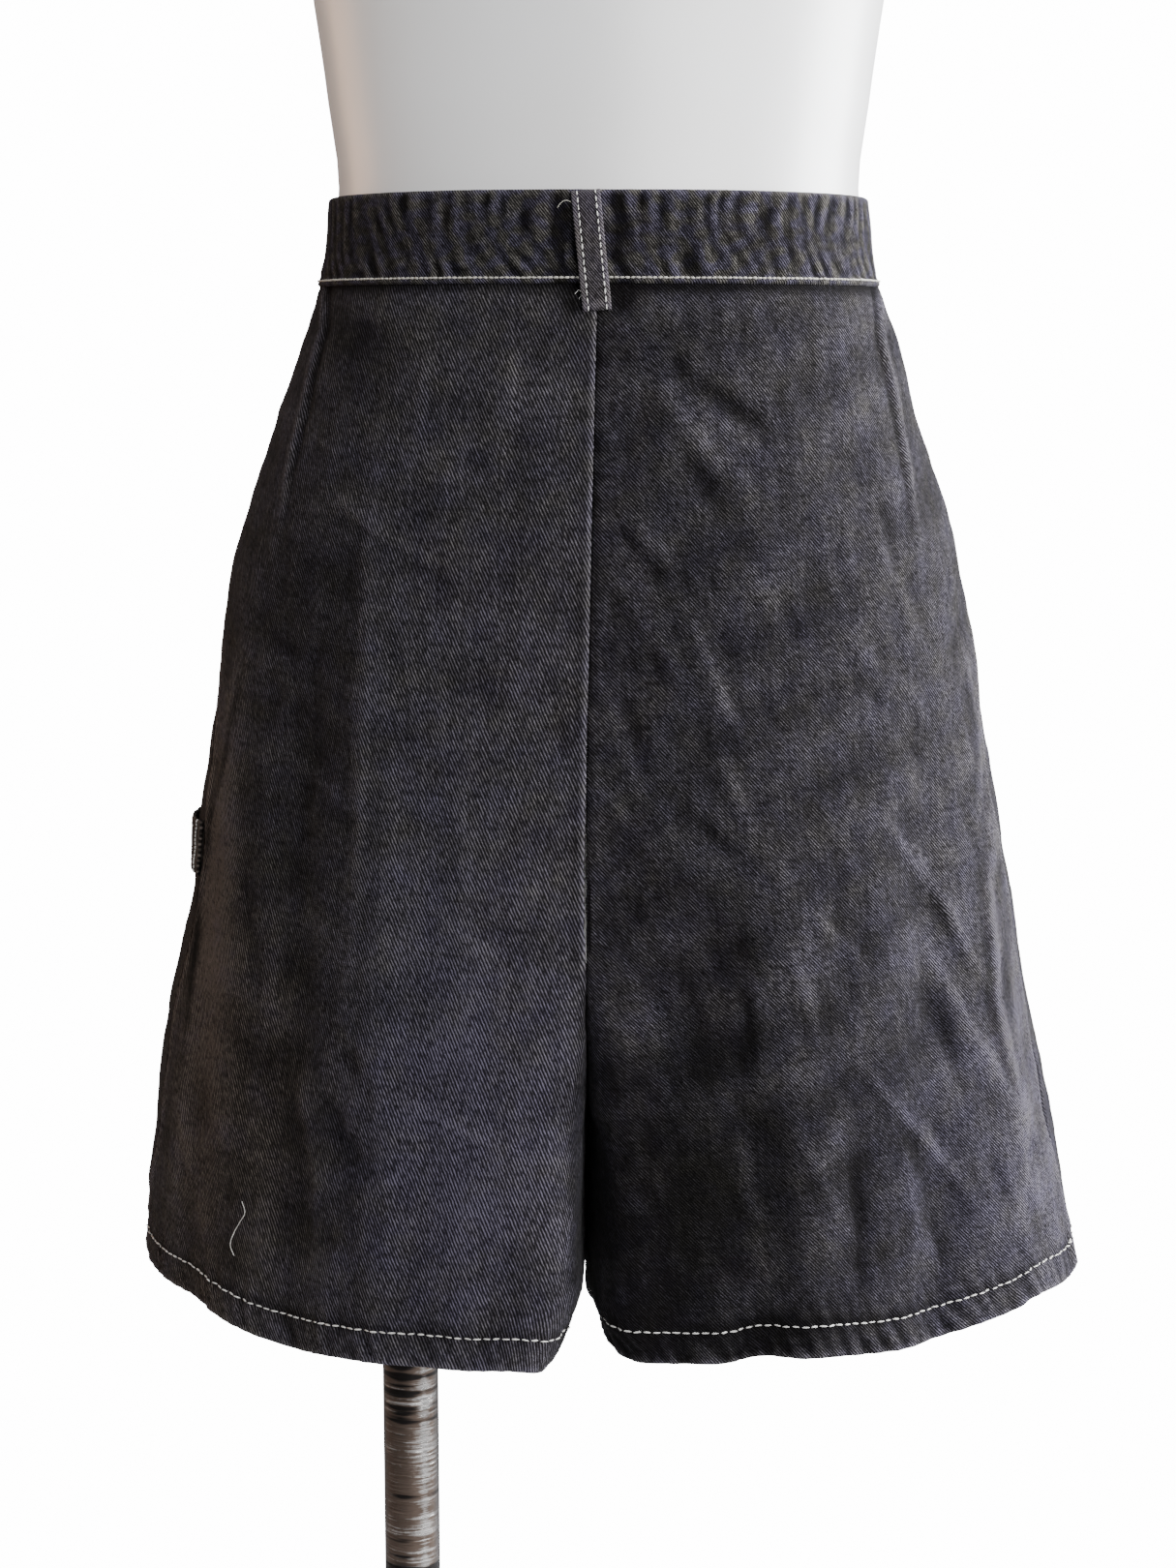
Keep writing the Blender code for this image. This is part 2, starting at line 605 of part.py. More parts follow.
def main():
    clear_scene()
    collection = bpy.data.collections.new("denim_skort")
    bpy.context.scene.collection.children.link(collection)
    denim = {}
    tones = {"back_left": (0.030, 0.029, 0.032), "back_right": (0.042, 0.040, 0.046),
             "front_left": (0.030, 0.029, 0.032), "front_right": (0.042, 0.040, 0.046),
             "front_skirt": (0.036, 0.034, 0.039), "waistband": (0.045, 0.043, 0.046),
             "belt_loop": (0.075, 0.068, 0.066), "hammer_loop": (0.034, 0.032, 0.036),
             "fly": (0.040, 0.038, 0.043)}
    for name, colour in tones.items():
        denim[name] = make_material(name + "_denim", colour, 0.85)
    for side, word in ((LEFT, "left"), (RIGHT, "right")):
        make_leg_panel("back_" + word, side, back_outline, denim["back_" + word], collection)
        make_leg_panel("front_" + word, side, leg_outline, denim["front_" + word], collection)
    make_skirt(denim["front_skirt"], collection)
    make_waistband(denim["waistband"], collection)
    make_belt_loop(denim["belt_loop"], collection)
    make_hammer_loop(denim["hammer_loop"], collection)
    make_fly(denim["fly"], collection)
    make_button(make_material("button_metal", (0.45, 0.42, 0.38), 0.35, 1.0), collection)
    make_form(make_material("form_gloss_white", (0.80, 0.79, 0.77), 0.12), collection)
    make_stand(make_material("stand_chrome", (0.62, 0.61, 0.60), 0.08, 1.0), collection)


main()
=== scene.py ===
"""Denim skort on a limbless dress form: the dressed surfaces, laid out as a Blender add-on.

Metres, +Z up, the garment's back towards -Y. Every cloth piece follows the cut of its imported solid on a
fine grid. Its outline is drawn closer, and it has its creases, puckers, darts and rolled hem.
"""
import math

import bmesh
import bpy
import numpy as np
from bpy.props import FloatProperty, FloatVectorProperty, IntProperty, PointerProperty
from mathutils import Matrix, Vector


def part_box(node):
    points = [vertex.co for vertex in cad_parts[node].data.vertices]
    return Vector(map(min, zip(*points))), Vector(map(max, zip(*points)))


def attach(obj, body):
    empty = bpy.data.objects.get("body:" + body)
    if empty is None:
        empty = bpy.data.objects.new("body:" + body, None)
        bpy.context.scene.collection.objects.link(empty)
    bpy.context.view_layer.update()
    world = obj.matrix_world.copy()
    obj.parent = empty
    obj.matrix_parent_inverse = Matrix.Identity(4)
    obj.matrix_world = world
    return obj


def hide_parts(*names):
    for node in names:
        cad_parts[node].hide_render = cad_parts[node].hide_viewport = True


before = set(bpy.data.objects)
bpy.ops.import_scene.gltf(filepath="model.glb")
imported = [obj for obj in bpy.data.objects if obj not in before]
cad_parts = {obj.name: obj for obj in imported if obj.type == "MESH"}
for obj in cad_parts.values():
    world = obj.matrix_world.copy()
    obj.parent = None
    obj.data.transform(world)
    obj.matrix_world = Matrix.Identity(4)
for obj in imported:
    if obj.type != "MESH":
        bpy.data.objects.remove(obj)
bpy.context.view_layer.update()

bl_info = {
    "name": "Denim Skort",
    "version": (1, 0, 0),
    "blender": (4, 5, 0),
    "location": "View3D > Sidebar > Skort",
    "description": "Dresses a denim skort and its display form over their packed solids",
    "category": "Object",
}

# Cut of the garment, as in its solids
WAIST_TOP = 1.000
BAND_HEIGHT = 0.037
LENGTH = 0.470
SIDE_FORK = 0.300
CROTCH = 0.375
HEM_TURN_UP = 0.0135
SIDE_SEAM_SET_BACK = 0.030
LEG_INSET = 0.0036
LEG_HANG = 0.0055
BAND_PROUD = 0.0005
BAND_OVERLAP = 0.030
BAND_STEP = 0.0030
FLY_LENGTH = 0.145
FLY_WIDTH = 0.036
FLY_WALL = 0.0010
HAMMER_TOP = 0.266
HAMMER_WIDTH = 0.024
HAMMER_START = 0.004
HAMMER_LENGTH = 0.088
POLE_X = -0.086
LEFT = -1
RIGHT = 1

# What the fine surfaces add: closer seams, turned edges, puckers, fading darts, the waistband's folds and
# its row of stitches, loose threads
SEAM_GAP = 0.0001
TURNED_EDGE = 0.0016
PUCKER_DEPTH = 0.00050
PUCKER_SLANT = 0.55
DART_FADE = 0.45
BAND_FOLD = 0.0010
BAND_STITCH_INSET = 0.0022
LOOSE_THREAD_RADIUS = 0.00015

# The picture's size in pixels, what one of them spans on the cloth, and the camera's film and place
PICTURE_WIDTH = 1215
PICTURE_HEIGHT = 1620
METRES_PER_PIXEL = 0.00039
SENSOR = 36.0
CAMERA_X = -0.0045

# Points along half a plan curve and their run-in at its ends; rows and columns of the grids
SAMPLES = 120
RUN_IN = 36
ROWS_ABOVE_FORK, ROWS_AT_FORK, ROWS_BELOW_CROTCH = 116, 24, 44
FACE_COLUMNS, INNER_COLUMNS = 108, 42
SKIRT_COLUMNS, BAND_COLUMNS, FLY_COLUMNS = 240, 460, 34
INNER_CLOSING = 1.35
STITCHES_AT_ONCE = 12

# Seeds that don't follow from the one in the settings
STITCH_SEED = 200
HAMMER_SEED = 117
FLY_SEED = 131

# What a cloth carries at each point besides its place, normal and drop
LAYERS = ("across", "pushed", "tone", "wear", "cool")

# Height by height: half-widths to each side, half-depths of each back leg, of the front and of the centre
# seam, how far a leg's fullest line lies from the centre, the seam's stray to +X, and half the leg gap.
SHAPE_COLUMNS = ("drop", "left", "right", "back_left", "back_right", "front", "seam", "crest", "stray", "gap")
SHAPE = (
    (0.000, 0.1143, 0.1148, 0.0850, 0.0850, 0.0850, 0.0850, 0.0140, 0.0000, 0.00015),
    (0.037, 0.1195, 0.1200, 0.0885, 0.0885, 0.0885, 0.0885, 0.0140, -0.0006, 0.00015),
    (0.060, 0.1265, 0.1292, 0.0934, 0.0934, 0.0929, 0.0934, 0.0140, -0.0012, 0.00015),
    (0.085, 0.1352, 0.1350, 0.0985, 0.0985, 0.0975, 0.0985, 0.0140, -0.0018, 0.00015),
    (0.134, 0.1526, 0.1512, 0.1095, 0.1095, 0.1070, 0.1095, 0.0145, -0.0030, 0.00015),
    (0.163, 0.1600, 0.1586, 0.1145, 0.1145, 0.1115, 0.1145, 0.0150, -0.0036, 0.00015),
    (0.219, 0.1684, 0.1683, 0.1215, 0.1215, 0.1180, 0.1215, 0.0170, -0.0050, 0.00015),
    (0.262, 0.1756, 0.1762, 0.1260, 0.1263, 0.1217, 0.1255, 0.0186, -0.0058, 0.00015),
    (0.289, 0.1785, 0.1812, 0.1288, 0.1290, 0.1240, 0.1275, 0.0200, -0.0060, 0.00015),
    (0.351, 0.1917, 0.1927, 0.1355, 0.1345, 0.1300, 0.1310, 0.0250, -0.0048, 0.00015),
    (0.387, 0.1973, 0.2010, 0.1395, 0.1360, 0.1330, 0.1330, 0.0285, -0.0044, 0.00015),
    (0.423, 0.2013, 0.2081, 0.1435, 0.1365, 0.1360, 0.1340, 0.0315, -0.0042, 0.00015),
    (0.470, 0.2045, 0.2174, 0.1480, 0.1365, 0.1390, 0.1350, 0.0345, -0.0040, 0.00015),
)
OUTER_POWER_TOP = 2.05
OUTER_POWER_HEM = 1.78
INNER_POWER = 5.0

# Folds: face, start and end across and down, half-width, depth inwards
FOLDS = (
    ("back", -0.128, 0.110, -0.132, 0.480, 0.018, 0.0045),
    ("back", -0.090, 0.100, -0.088, 0.480, 0.014, -0.0025),
    ("back", -0.168, 0.220, -0.176, 0.480, 0.011, 0.0025),
    ("back", 0.034, 0.230, 0.037, 0.480, 0.020, 0.0028),
    ("back", 0.056, 0.300, 0.069, 0.480, 0.010, 0.0060),
    ("back", 0.080, 0.240, 0.088, 0.480, 0.015, -0.0035),
    ("back", 0.132, 0.180, 0.146, 0.480, 0.013, 0.0040),
    ("back", 0.162, 0.210, 0.184, 0.480, 0.010, -0.0028),
    ("front", -0.120, 0.200, -0.135, 0.480, 0.020, 0.0060),
    ("front", -0.050, 0.230, -0.062, 0.480, 0.018, -0.0040),
    ("front", 0.030, 0.210, 0.022, 0.480, 0.018, 0.0050),
    ("front", 0.112, 0.200, 0.130, 0.480, 0.020, 0.0060),
)
FOLD_FADE = 0.110

# Form: height, half-width, half-depth, how far its centre lies forward
FORM = (
    (0.6800, 0.1180, 0.0660, 0.000),
    (0.6860, 0.1270, 0.0740, 0.000),
    (0.7050, 0.1380, 0.0850, 0.000),
    (0.7400, 0.1460, 0.0950, 0.000),
    (0.7800, 0.1510, 0.1010, 0.000),
    (0.8200, 0.1520, 0.1035, 0.000),
    (0.8600, 0.1455, 0.1000, 0.000),
    (0.9000, 0.1315, 0.0915, 0.000),
    (0.9400, 0.1165, 0.0835, 0.000),
    (0.9620, 0.1128, 0.0825, 0.000),
    (0.9850, 0.1137, 0.0836, 0.000),
    (1.0000, 0.1113, 0.0818, 0.000),
    (1.0400, 0.1152, 0.0828, 0.002),
    (1.0830, 0.1213, 0.0865, 0.006),
    (1.1400, 0.1310, 0.0960, 0.011),
    (1.2000, 0.1390, 0.1050, 0.015),
    (1.2600, 0.1430, 0.1020, 0.012),
    (1.3200, 0.1540, 0.0870, 0.005),
    (1.3600, 0.1600, 0.0760, 0.000),
    (1.3850, 0.1480, 0.0680, -0.002),
    (1.4050, 0.1120, 0.0600, -0.003),
    (1.4200, 0.0760, 0.0540, -0.003),
    (1.4400, 0.0580, 0.0510, 0.000),
    (1.4800, 0.0530, 0.0500, 0.004),
)

# Creases of the back, placed in the picture's own frame: half-width in its pixels, depth inwards in
# millimetres (a ridge is negative), then the points that the crease runs through.
BACK_CREASES = (
    (8, 1.1, (335, 526), (400, 566), (484, 618)),
    (9, -0.9, (345, 506), (402, 562)),
    (10, -0.8, (436, 926), (478, 968), (524, 1014)),
    (12, -0.9, (388, 440), (378, 690), (372, 860), (362, 1000), (352, 1090)),
    (30, 0.6, (340, 470), (330, 700), (322, 860), (316, 1010), (312, 1090)),
    (8, 1.2, (354, 1076), (366, 1104), (384, 1134)),
    (12, -1.2, (306, 1104), (320, 1170), (332, 1240)),
    (9, 1.1, (332, 1116), (350, 1160), (374, 1206)),
    (10, -0.9, (416, 1136), (470, 1166), (524, 1192)),
    (9, -0.8, (366, 1244), (400, 1222), (434, 1198)),
    (12, 0.7, (492, 436), (488, 480), (484, 524)),
    (12, -0.8, (532, 336), (527, 410), (518, 484)),
    (10, -0.6, (442, 356), (436, 404), (430, 454)),
    (10, 0.8, (568, 686), (577, 734), (586, 784)),
    (9, 0.6, (592, 466), (591, 494), (589, 524)),
    (9, -0.7, (496, 676), (530, 690), (564, 704)),
    (10, -0.7, (508, 686), (532, 722), (558, 764)),
    (6, -0.7, (298, 776), (334, 810), (372, 844)),
    (10, -1.0, (180, 1110), (197, 1200), (216, 1296)),
    (9, -0.8, (237, 1184), (222, 1148), (208, 1104)),
    (8, 0.7, (250, 900), (262, 980), (266, 1060)),
    (13, 0.9, (684, 362), (744, 408), (816, 460)),
    (10, 0.5, (700, 386), (740, 412), (784, 444)),
    (14, -0.9, (672, 392), (730, 462), (794, 526)),
    (20, 1.1, (700, 448), (736, 514), (774, 584)),
    (9, 1.0, (638, 542), (662, 570), (694, 604)),
    (10, -0.8, (628, 586), (664, 640), (702, 704)),
    (11, -0.9, (714, 638), (738, 700), (762, 764)),
    (10, -0.8, (738, 776), (756, 812), (772, 854)),
    (12, 0.8, (686, 814), (740, 864), (804, 920)),
    (18, 1.1, (642, 696), (656, 762), (682, 834)),
    (10, -1.1, (828, 936), (860, 958), (894, 988)),
    (9, 0.9, (848, 946), (874, 966), (904, 994)),
    (10, -0.6, (814, 966), (828, 1010), (842, 1064)),
    (8, -0.7, (818, 1166), (832, 1190), (846, 1214)),
    (8, -0.6, (846, 1214), (860, 1176), (872, 1136)),
    (14, 1.6, (948, 1004), (974, 1070), (1002, 1136)),
    (8, -1.1, (902, 826), (956, 910), (1014, 1004)),
    (8, -1.0, (938, 866), (966, 914), (994, 966)),
    (9, -1.2, (958, 976), (1008, 1070), (1064, 1166)),
    (9, -1.0, (876, 1084), (940, 1160), (1012, 1246)),
    (8, 1.0, (938, 876), (970, 940), (1004, 1006)),
    (10, 1.1, (878, 1176), (886, 1250), (892, 1336)),
    (10, 0.9, (768, 1006), (774, 1050), (782, 1104)),
    (13, -1.1, (758, 1156), (776, 1240), (792, 1334)),
    (9, -0.8, (603, 796), (624, 820), (652, 854)),
    (12, -1.2, (1046, 1150), (1066, 1220), (1092, 1290)),
    (5, -0.6, (1019, 835), (1029, 877), (1024, 905), (1025, 947), (1030, 977), (1033, 1033), (1043, 1080),
     (1057, 1133)),
    (6, 0.3, (1010, 870), (1014, 905), (1015, 947), (1020, 977), (1023, 1033), (1033, 1085), (1047, 1140)),
    (9, 1.0, (1020, 1180), (1042, 1240), (1058, 1300)),
    (9, 0.9, (930, 1150), (960, 1240), (975, 1320)),
    (8, -0.7, (906, 560), (930, 610), (944, 660)),
    (8, 0.7, (880, 480), (908, 520), (926, 568)),
    (7, -0.6, (860, 640), (884, 664), (910, 694)),
    (7, 0.6, (876, 690), (900, 716), (926, 746)),
    (6, -0.6, (920, 690), (942, 716), (962, 748)),
    (6, 0.5, (936, 760), (956, 790), (976, 824)),
    (9, 0.7, (400, 640), (420, 720), (426, 800)),
    (9, -0.6, (470, 800), (480, 880), (476, 950)),
    (8, -0.5, (270, 400), (300, 430), (334, 452)),
    (8, 0.6, (262, 640), (290, 668), (330, 690)),
)

# Creases of the front and sides, in the same manner, placed from the centre line in millimetres
FRONT_CREASES = (
    (9, 1.6, (-74, 66), (-40, 88), (-12, 96)),
    (10, -1.0, (-78, 82), (-48, 104)),
    (9, 1.5, (70, 60), (44, 84), (22, 98)),
    (10, -1.0, (76, 80), (50, 106)),
    (9, -1.2, (-84, 150), (-90, 260), (-98, 380)),
    (11, 1.3, (-60, 190), (-64, 300), (-70, 420)),
    (9, -1.1, (30, 170), (36, 280), (38, 400)),
    (10, 1.2, (66, 210), (80, 320), (96, 440)),
    (10, -1.0, (118, 240), (134, 340), (150, 450)),
    (8, 1.0, (-130, 230), (-142, 300), (-150, 380)),
    (9, -0.9, (-20, 240), (-30, 330), (-28, 420)),
    (7, 0.9, (100, 150), (122, 180), (146, 200)),
    (7, -0.8, (-104, 136), (-126, 158), (-148, 174)),
)

# Darts: points across and down from the centre of the waist, in millimetres
DARTS = {
    LEFT: ((-115, 34), (-114.5, 55), (-121, 78), (-128.5, 113), (-130, 128), (-134.7, 154)),
    RIGHT: ((117, 34), (118, 58), (123.5, 84), (127, 102), (131, 130), (133, 151)),
}

# Areas of the back, in the picture's frame: centre, half-sizes, paler or darker. The dark left strip, the
# right leg's dark inner wedge, the line along the gap between the legs and the two spots beside the belt
# loop's foot are painted shade. The paler areas at the right rim and low on the left leg are painted light.
# The others are patches of the wash
BACK_WASH_AND_SHADE = (
    (300, 760, 50, 280, -0.06),
    (300, 1130, 40, 170, -0.08),
    (310, 560, 40, 110, -0.03),
    (365, 345, 46, 34, -0.15),
    (350, 400, 30, 90, -0.04),
    (560, 560, 30, 120, -0.03),
    (480, 760, 80, 200, 0.02),
    (490, 1090, 100, 240, 0.11),
    (510, 1230, 80, 90, 0.09),
    (430, 1000, 50, 90, 0.03),
    (236, 600, 22, 120, -0.02),
    (665, 1330, 90, 110, -0.13),
    (690, 1200, 60, 120, -0.05),
    (760, 1385, 130, 26, -0.14),
    (228, 850, 15, 160, 0.18),
    (218, 1010, 12, 100, 0.14),
    (256, 900, 11, 200, -0.05),
    (700, 1060, 60, 60, 0.06),
    (622, 1180, 14, 170, -0.08),
    (750, 1200, 44, 130, -0.04),
    (822, 1040, 28, 110, 0.06),
    (1000, 860, 50, 300, 0.06),
    (1070, 1180, 46, 160, 0.16),
    (985, 1120, 40, 160, 0.02),
    (875, 1180, 80, 170, -0.06),
    (700, 620, 70, 150, -0.02),
    (880, 420, 50, 140, 0.03),
    (470, 330, 60, 40, 0.03),
    (617, 700, 12, 400, 0.03),
    (930, 640, 30, 120, 0.04),
    (590, 312, 14, 18, -0.26),
    (643, 308, 12, 17, -0.26),
)

# The waistband's darker areas, in the same manner: the four beside the belt loop are painted shadow, and the
# other two are patches of the wash
BAND_WASH_AND_SHADOW = (
    (375, 250, 50, 90, -0.06),
    (580, 236, 13, 34, -0.34),
    (640, 235, 9, 36, -0.30),
    (584, 300, 14, 22, -0.34),
    (644, 300, 12, 22, -0.30),
    (800, 245, 90, 60, -0.07),
)

# Warmer or cooler areas, in the same manner. The warm one along the left outline is painted warm light from
# the fill lamp, and the cool ones at the right rim are painted cool light from the key lamp; the others are
# tints of the wash
BACK_CAST = (
    (205, 950, 50, 600, -0.50),
    (290, 1150, 60, 220, -0.40),
    (720, 1220, 60, 70, -0.30),
    (430, 340, 160, 40, -0.12),
    (470, 1180, 120, 220, 0.50),
    (1010, 1250, 110, 150, 0.30),
    (460, 800, 70, 240, 0.08),
    (800, 700, 150, 260, 0.06),
    (950, 1080, 90, 220, 0.15),
)

# Painted shade and light that end sharply along a line and fade away on one side of it: darker where a crease
# turns the cloth away from the lamps, paler where a crease or the side seam's ledge turns it towards them.
# That side is the left as one looks down the picture along a line that runs down: sharp and soft reach in its
# pixels, paler or darker, points
BACK_PAINTED_SHADING = (
    (10, 130, -0.055, (380, 540), (373, 690), (366, 860), (354, 980)),
    (14, 50, 0.035, (354, 980), (366, 860), (373, 690), (380, 540)),
    (30, 160, -0.075, (628, 830), (700, 872), (770, 925), (802, 1010), (800, 1100), (768, 1200), (776, 1350)),
    (14, 60, -0.05, (352, 1120), (372, 1200), (384, 1300)),
    (8, 40, -0.05, (690, 960), (720, 1010), (742, 1080), (748, 1150)),
    (6, 26, -0.05, (336, 522), (400, 564), (484, 616)),
    (6, 34, 0.05, (794, 528), (732, 462), (674, 394)),
    (4, 30, 0.14, (160, 1290), (176, 1220), (190, 1100), (204, 970), (213, 850), (232, 740), (246, 620)),
)

# Fine lines along folds: pale ones are rubbed wear, and on the lit right side they also stand in for painted
# highlights on crease ridges; darker ones (a negative amount) are painted shade in crease troughs and along
# the side seam's step: half-width in the picture's pixels, amount, points
RUBBED_AND_SHADED_LINES = (
    (2.6, 0.55, (1056, 1120), (1062, 1200), (1052, 1262), (1054, 1310)),
    (2.6, 0.45, (1080, 1170), (1086, 1225), (1094, 1285)),
    (2.2, 0.40, (186, 1160), (183, 1230), (192, 1290)),
    (2.2, 0.45, (626, 1290), (625, 1345), (628, 1396)),
    (3.4, -1.7, (250, 690), (236, 760), (216, 850), (207, 930), (198, 1010), (192, 1080)),
    (3.0, 1.0, (995, 658), (1012, 750), (1014, 790), (1012, 850)),
    (3.4, 1.3, (1019, 835), (1029, 877), (1024, 905), (1025, 947), (1030, 977), (1033, 1033), (1043, 1080),
     (1057, 1133), (1073, 1180)),
    (2.8, 0.9, (1043, 955), (1047, 993), (1049, 1030), (1053, 1075)),
    (5.0, -0.35, (1010, 870), (1014, 905), (1015, 947), (1020, 977), (1023, 1033), (1033, 1085),
     (1047, 1140)),
    (5.0, -0.45, (1000, 690), (1005, 750), (1006, 800), (1004, 850)),
    (2.5, 0.40, (238, 700), (227, 780), (212, 900), (203, 980), (190, 1075)),
    (5.0, 0.30, (690, 392), (734, 428), (800, 476)),
    (6.0, 0.28, (672, 392), (730, 470), (790, 540)),
    (5.0, 0.25, (640, 520), (700, 580), (760, 640)),
    (5.0, 0.25, (714, 638), (740, 705), (762, 764)),
    (4.0, 0.28, (850, 934), (880, 960), (916, 1000)),
    (4.0, 0.14, (814, 966), (830, 1014), (842, 1064)),
    (5.0, 0.32, (905, 830), (960, 912), (1012, 1000)),
    (5.0, 0.30, (958, 976), (1010, 1072), (1062, 1160)),
    (5.0, 0.26, (876, 1084), (940, 1160), (1010, 1244)),
    (4.0, 0.28, (345, 516), (402, 552), (470, 592)),
    (4.0, 0.22, (436, 926), (478, 968), (524, 1014)),
    (4.0, 0.22, (416, 1136), (470, 1166), (524, 1192)),
    (4.0, 0.22, (366, 1244), (400, 1222), (434, 1198)),
    (4.0, 0.12, (818, 1166), (832, 1190), (846, 1214), (860, 1176), (872, 1136)),
)

# The legs' lower inner corners, drawn apart: where this starts, how far in it reaches and its amounts
CORNER_TOP = 0.444
CORNER_REACH = 0.055
LEFT_CORNER = 0.0105
RIGHT_CORNER = 0.0054
INNER_BOW = 0.0016

# Twill of each cloth: the lines' angle in degrees, how far the dye has faded, and what else differs
TWILLS = {
    "back_denim_left": {"angle": 64, "fade": 0.352, "contrast": 0.92, "brown": 1.4},
    "back_denim_right": {"angle": 47, "fade": 0.250},
    "front_denim_left": {"angle": 65, "fade": 0.29},
    "front_denim_right": {"angle": 65, "fade": 0.29},
    "skirt_denim": {"angle": 65, "fade": 0.28, "brown": 1.4},
    "fly_denim": {"angle": 65, "fade": 0.31},
    "band_denim": {"angle": 52, "fade": 0.325, "pitch": 0.86},
    "loop_denim": {"angle": 56, "fade": 0.43, "contrast": 0.9, "pitch": 0.80, "cast": (1.04, 1.0, 0.98)},
    "hammer_denim": {"angle": 60, "fade": 0.38, "brown": 1.4},
}

# Loose thread ends, through places of the picture's frame
LOOSE_THREADS = (
    ("hem_thread", ((251, 1241), (254, 1252), (249, 1262), (243, 1273), (239, 1287), (243, 1297))),
    ("loop_foot_thread", ((594, 304), (598, 300), (601, 304), (598, 309))),
)
BAND_THREAD = ((576, 215), (579, 210.5), (584, 207.5), (589, 208.5), (592, 212))

# How far the hem rises or sags along the back, in the picture's pixels across and millimetres up
HEM_SWAY = (
    (120, 4.0), (160, 4.4), (205, 3.6), (235, 0.6), (265, -2.2), (295, -3.8), (340, -2.0), (380, -0.3),
    (480, -0.4), (548, -0.2), (568, -1.0), (586, -2.2), (604, -1.0), (640, -1.4), (700, -2.2),
    (770, -2.2), (800, -1.0), (850, -1.2), (890, -3.2), (970, -4.2), (1010, -2.0), (1050, 0.4),
    (1070, 2.6), (1092, 0.2), (1112, -3.0), (1130, -4.2),
)

# Studio lights: name, place, height that they point at on the axis, size and colour
LIGHTS = (
    ("key", (1.95, 0.25, 1.25), 0.85, 1.3, (0.97, 0.985, 1.0)),
    ("front", (1.15, -2.12, 1.60), 0.85, 1.6, (1.0, 1.0, 1.0)),
    ("fill", (-2.0, 0.75, 0.95), 0.85, 1.0, (1.0, 0.62, 0.38)),
    ("top", (0.1, -0.5, 2.6), 0.9, 1.6, (0.95, 0.97, 1.0)),
)


class SkortSizes(bpy.types.PropertyGroup):
    """Sizes of the cloth, its stitching and the picture's camera."""
    wall: FloatProperty(
        name="Cloth", description="Thickness of one layer of denim", default=0.0012, unit="LENGTH")
    band_wall: FloatProperty(
        name="Waistband", description="Thickness of the folded waistband", default=0.0024, unit="LENGTH")
    strap_wall: FloatProperty(
        name="Straps", description="Thickness of the straps", default=0.0014, unit="LENGTH")
    fold_radius: FloatProperty(
        name="Hem fold", description="Outer radius of the hem's folded edge", default=0.0013, unit="LENGTH")
    pucker_pitch: FloatProperty(
        name="Pucker pitch", description="Distance between puckers at hem and waistband", default=0.0088,
        unit="LENGTH")
    twill_pitch: FloatProperty(
        name="Twill pitch", description="Distance across between two twill lines", default=0.00140,
        unit="LENGTH")
    stitch_pitch: FloatProperty(
        name="Topstitch", description="Length of one stitch with its gap", default=0.0040, unit="LENGTH")
    edge_pitch: FloatProperty(
        name="Edge stitch", description="Length of one stitch along the waistband", default=0.0022,
        unit="LENGTH")
    thread: FloatProperty(name="Thread", description="Width of the thread", default=0.00085, unit="LENGTH")
    loop_width: FloatProperty(
        name="Belt loop width", description="Across the strap", default=0.0117, unit="LENGTH")
    loop_length: FloatProperty(
        name="Belt loop length", description="Down the strap", default=0.048, unit="LENGTH")
    pole_radius: FloatProperty(
        name="Pole radius", description="Half the pole's tube", default=0.0127, unit="LENGTH")
    camera_distance: FloatProperty(
        name="Camera distance", description="From the waist's axis to the lens", default=1.20, unit="LENGTH")
    camera_height: FloatProperty(
        name="Camera height", description="Above the floor", default=0.941, unit="LENGTH")
    camera_tilt: FloatProperty(
        name="Camera tilt", description="Downwards from level", default=math.radians(9.22), unit="ROTATION")
    lens: FloatProperty(name="Lens", description="Focal length in millimetres", default=62.93)
    seed: IntProperty(name="Seed", description="Start of all scattered detail", default=7)


class SkortColours(bpy.types.PropertyGroup):
    """Colours of the finishes, as linear values."""
    denim_dark: FloatVectorProperty(
        name="Denim, dark yarn", description="Deepest tone of the faded black", subtype="COLOR",
        default=(0.0021, 0.0018, 0.0019))
    denim_pale: FloatVectorProperty(
        name="Denim, pale yarn", description="Tone where the dye has worn off", subtype="COLOR",
        default=(0.136, 0.131, 0.147))
    denim_violet: FloatVectorProperty(
        name="Denim, violet cast", description="Cool patches of the wash", subtype="COLOR",
        default=(0.97, 0.92, 1.14))
    denim_olive: FloatVectorProperty(
        name="Denim, olive cast", description="Warm patches of the wash", subtype="COLOR",
        default=(1.05, 1.02, 0.85))
    # Brown cast: on the back's left outline it is painted warm light; on the hammer loop it is the strap's
    # own colour.
    denim_brown: FloatVectorProperty(
        name="Denim, brown cast", description="Warmest parts beside the side seam", subtype="COLOR",
        default=(1.16, 0.95, 0.84))
    thread_white: FloatVectorProperty(
        name="Topstitch thread", description="White thread", subtype="COLOR", default=(0.86, 0.84, 0.80))
    thread_cream: FloatVectorProperty(
        name="Edge thread", description="Cream thread", subtype="COLOR", default=(0.66, 0.63, 0.56))
    form_white: FloatVectorProperty(
        name="Form", description="Gloss white", subtype="COLOR", default=(0.93, 0.93, 0.94))
    chrome: FloatVectorProperty(
        name="Chrome", description="Polished stand", subtype="COLOR", default=(0.60, 0.585, 0.575))
    button: FloatVectorProperty(
        name="Button", description="Aged metal", subtype="COLOR", default=(0.34, 0.29, 0.22))
    floor: FloatVectorProperty(
        name="Floor", description="Plain pale floor", subtype="COLOR", default=(0.82, 0.82, 0.82))


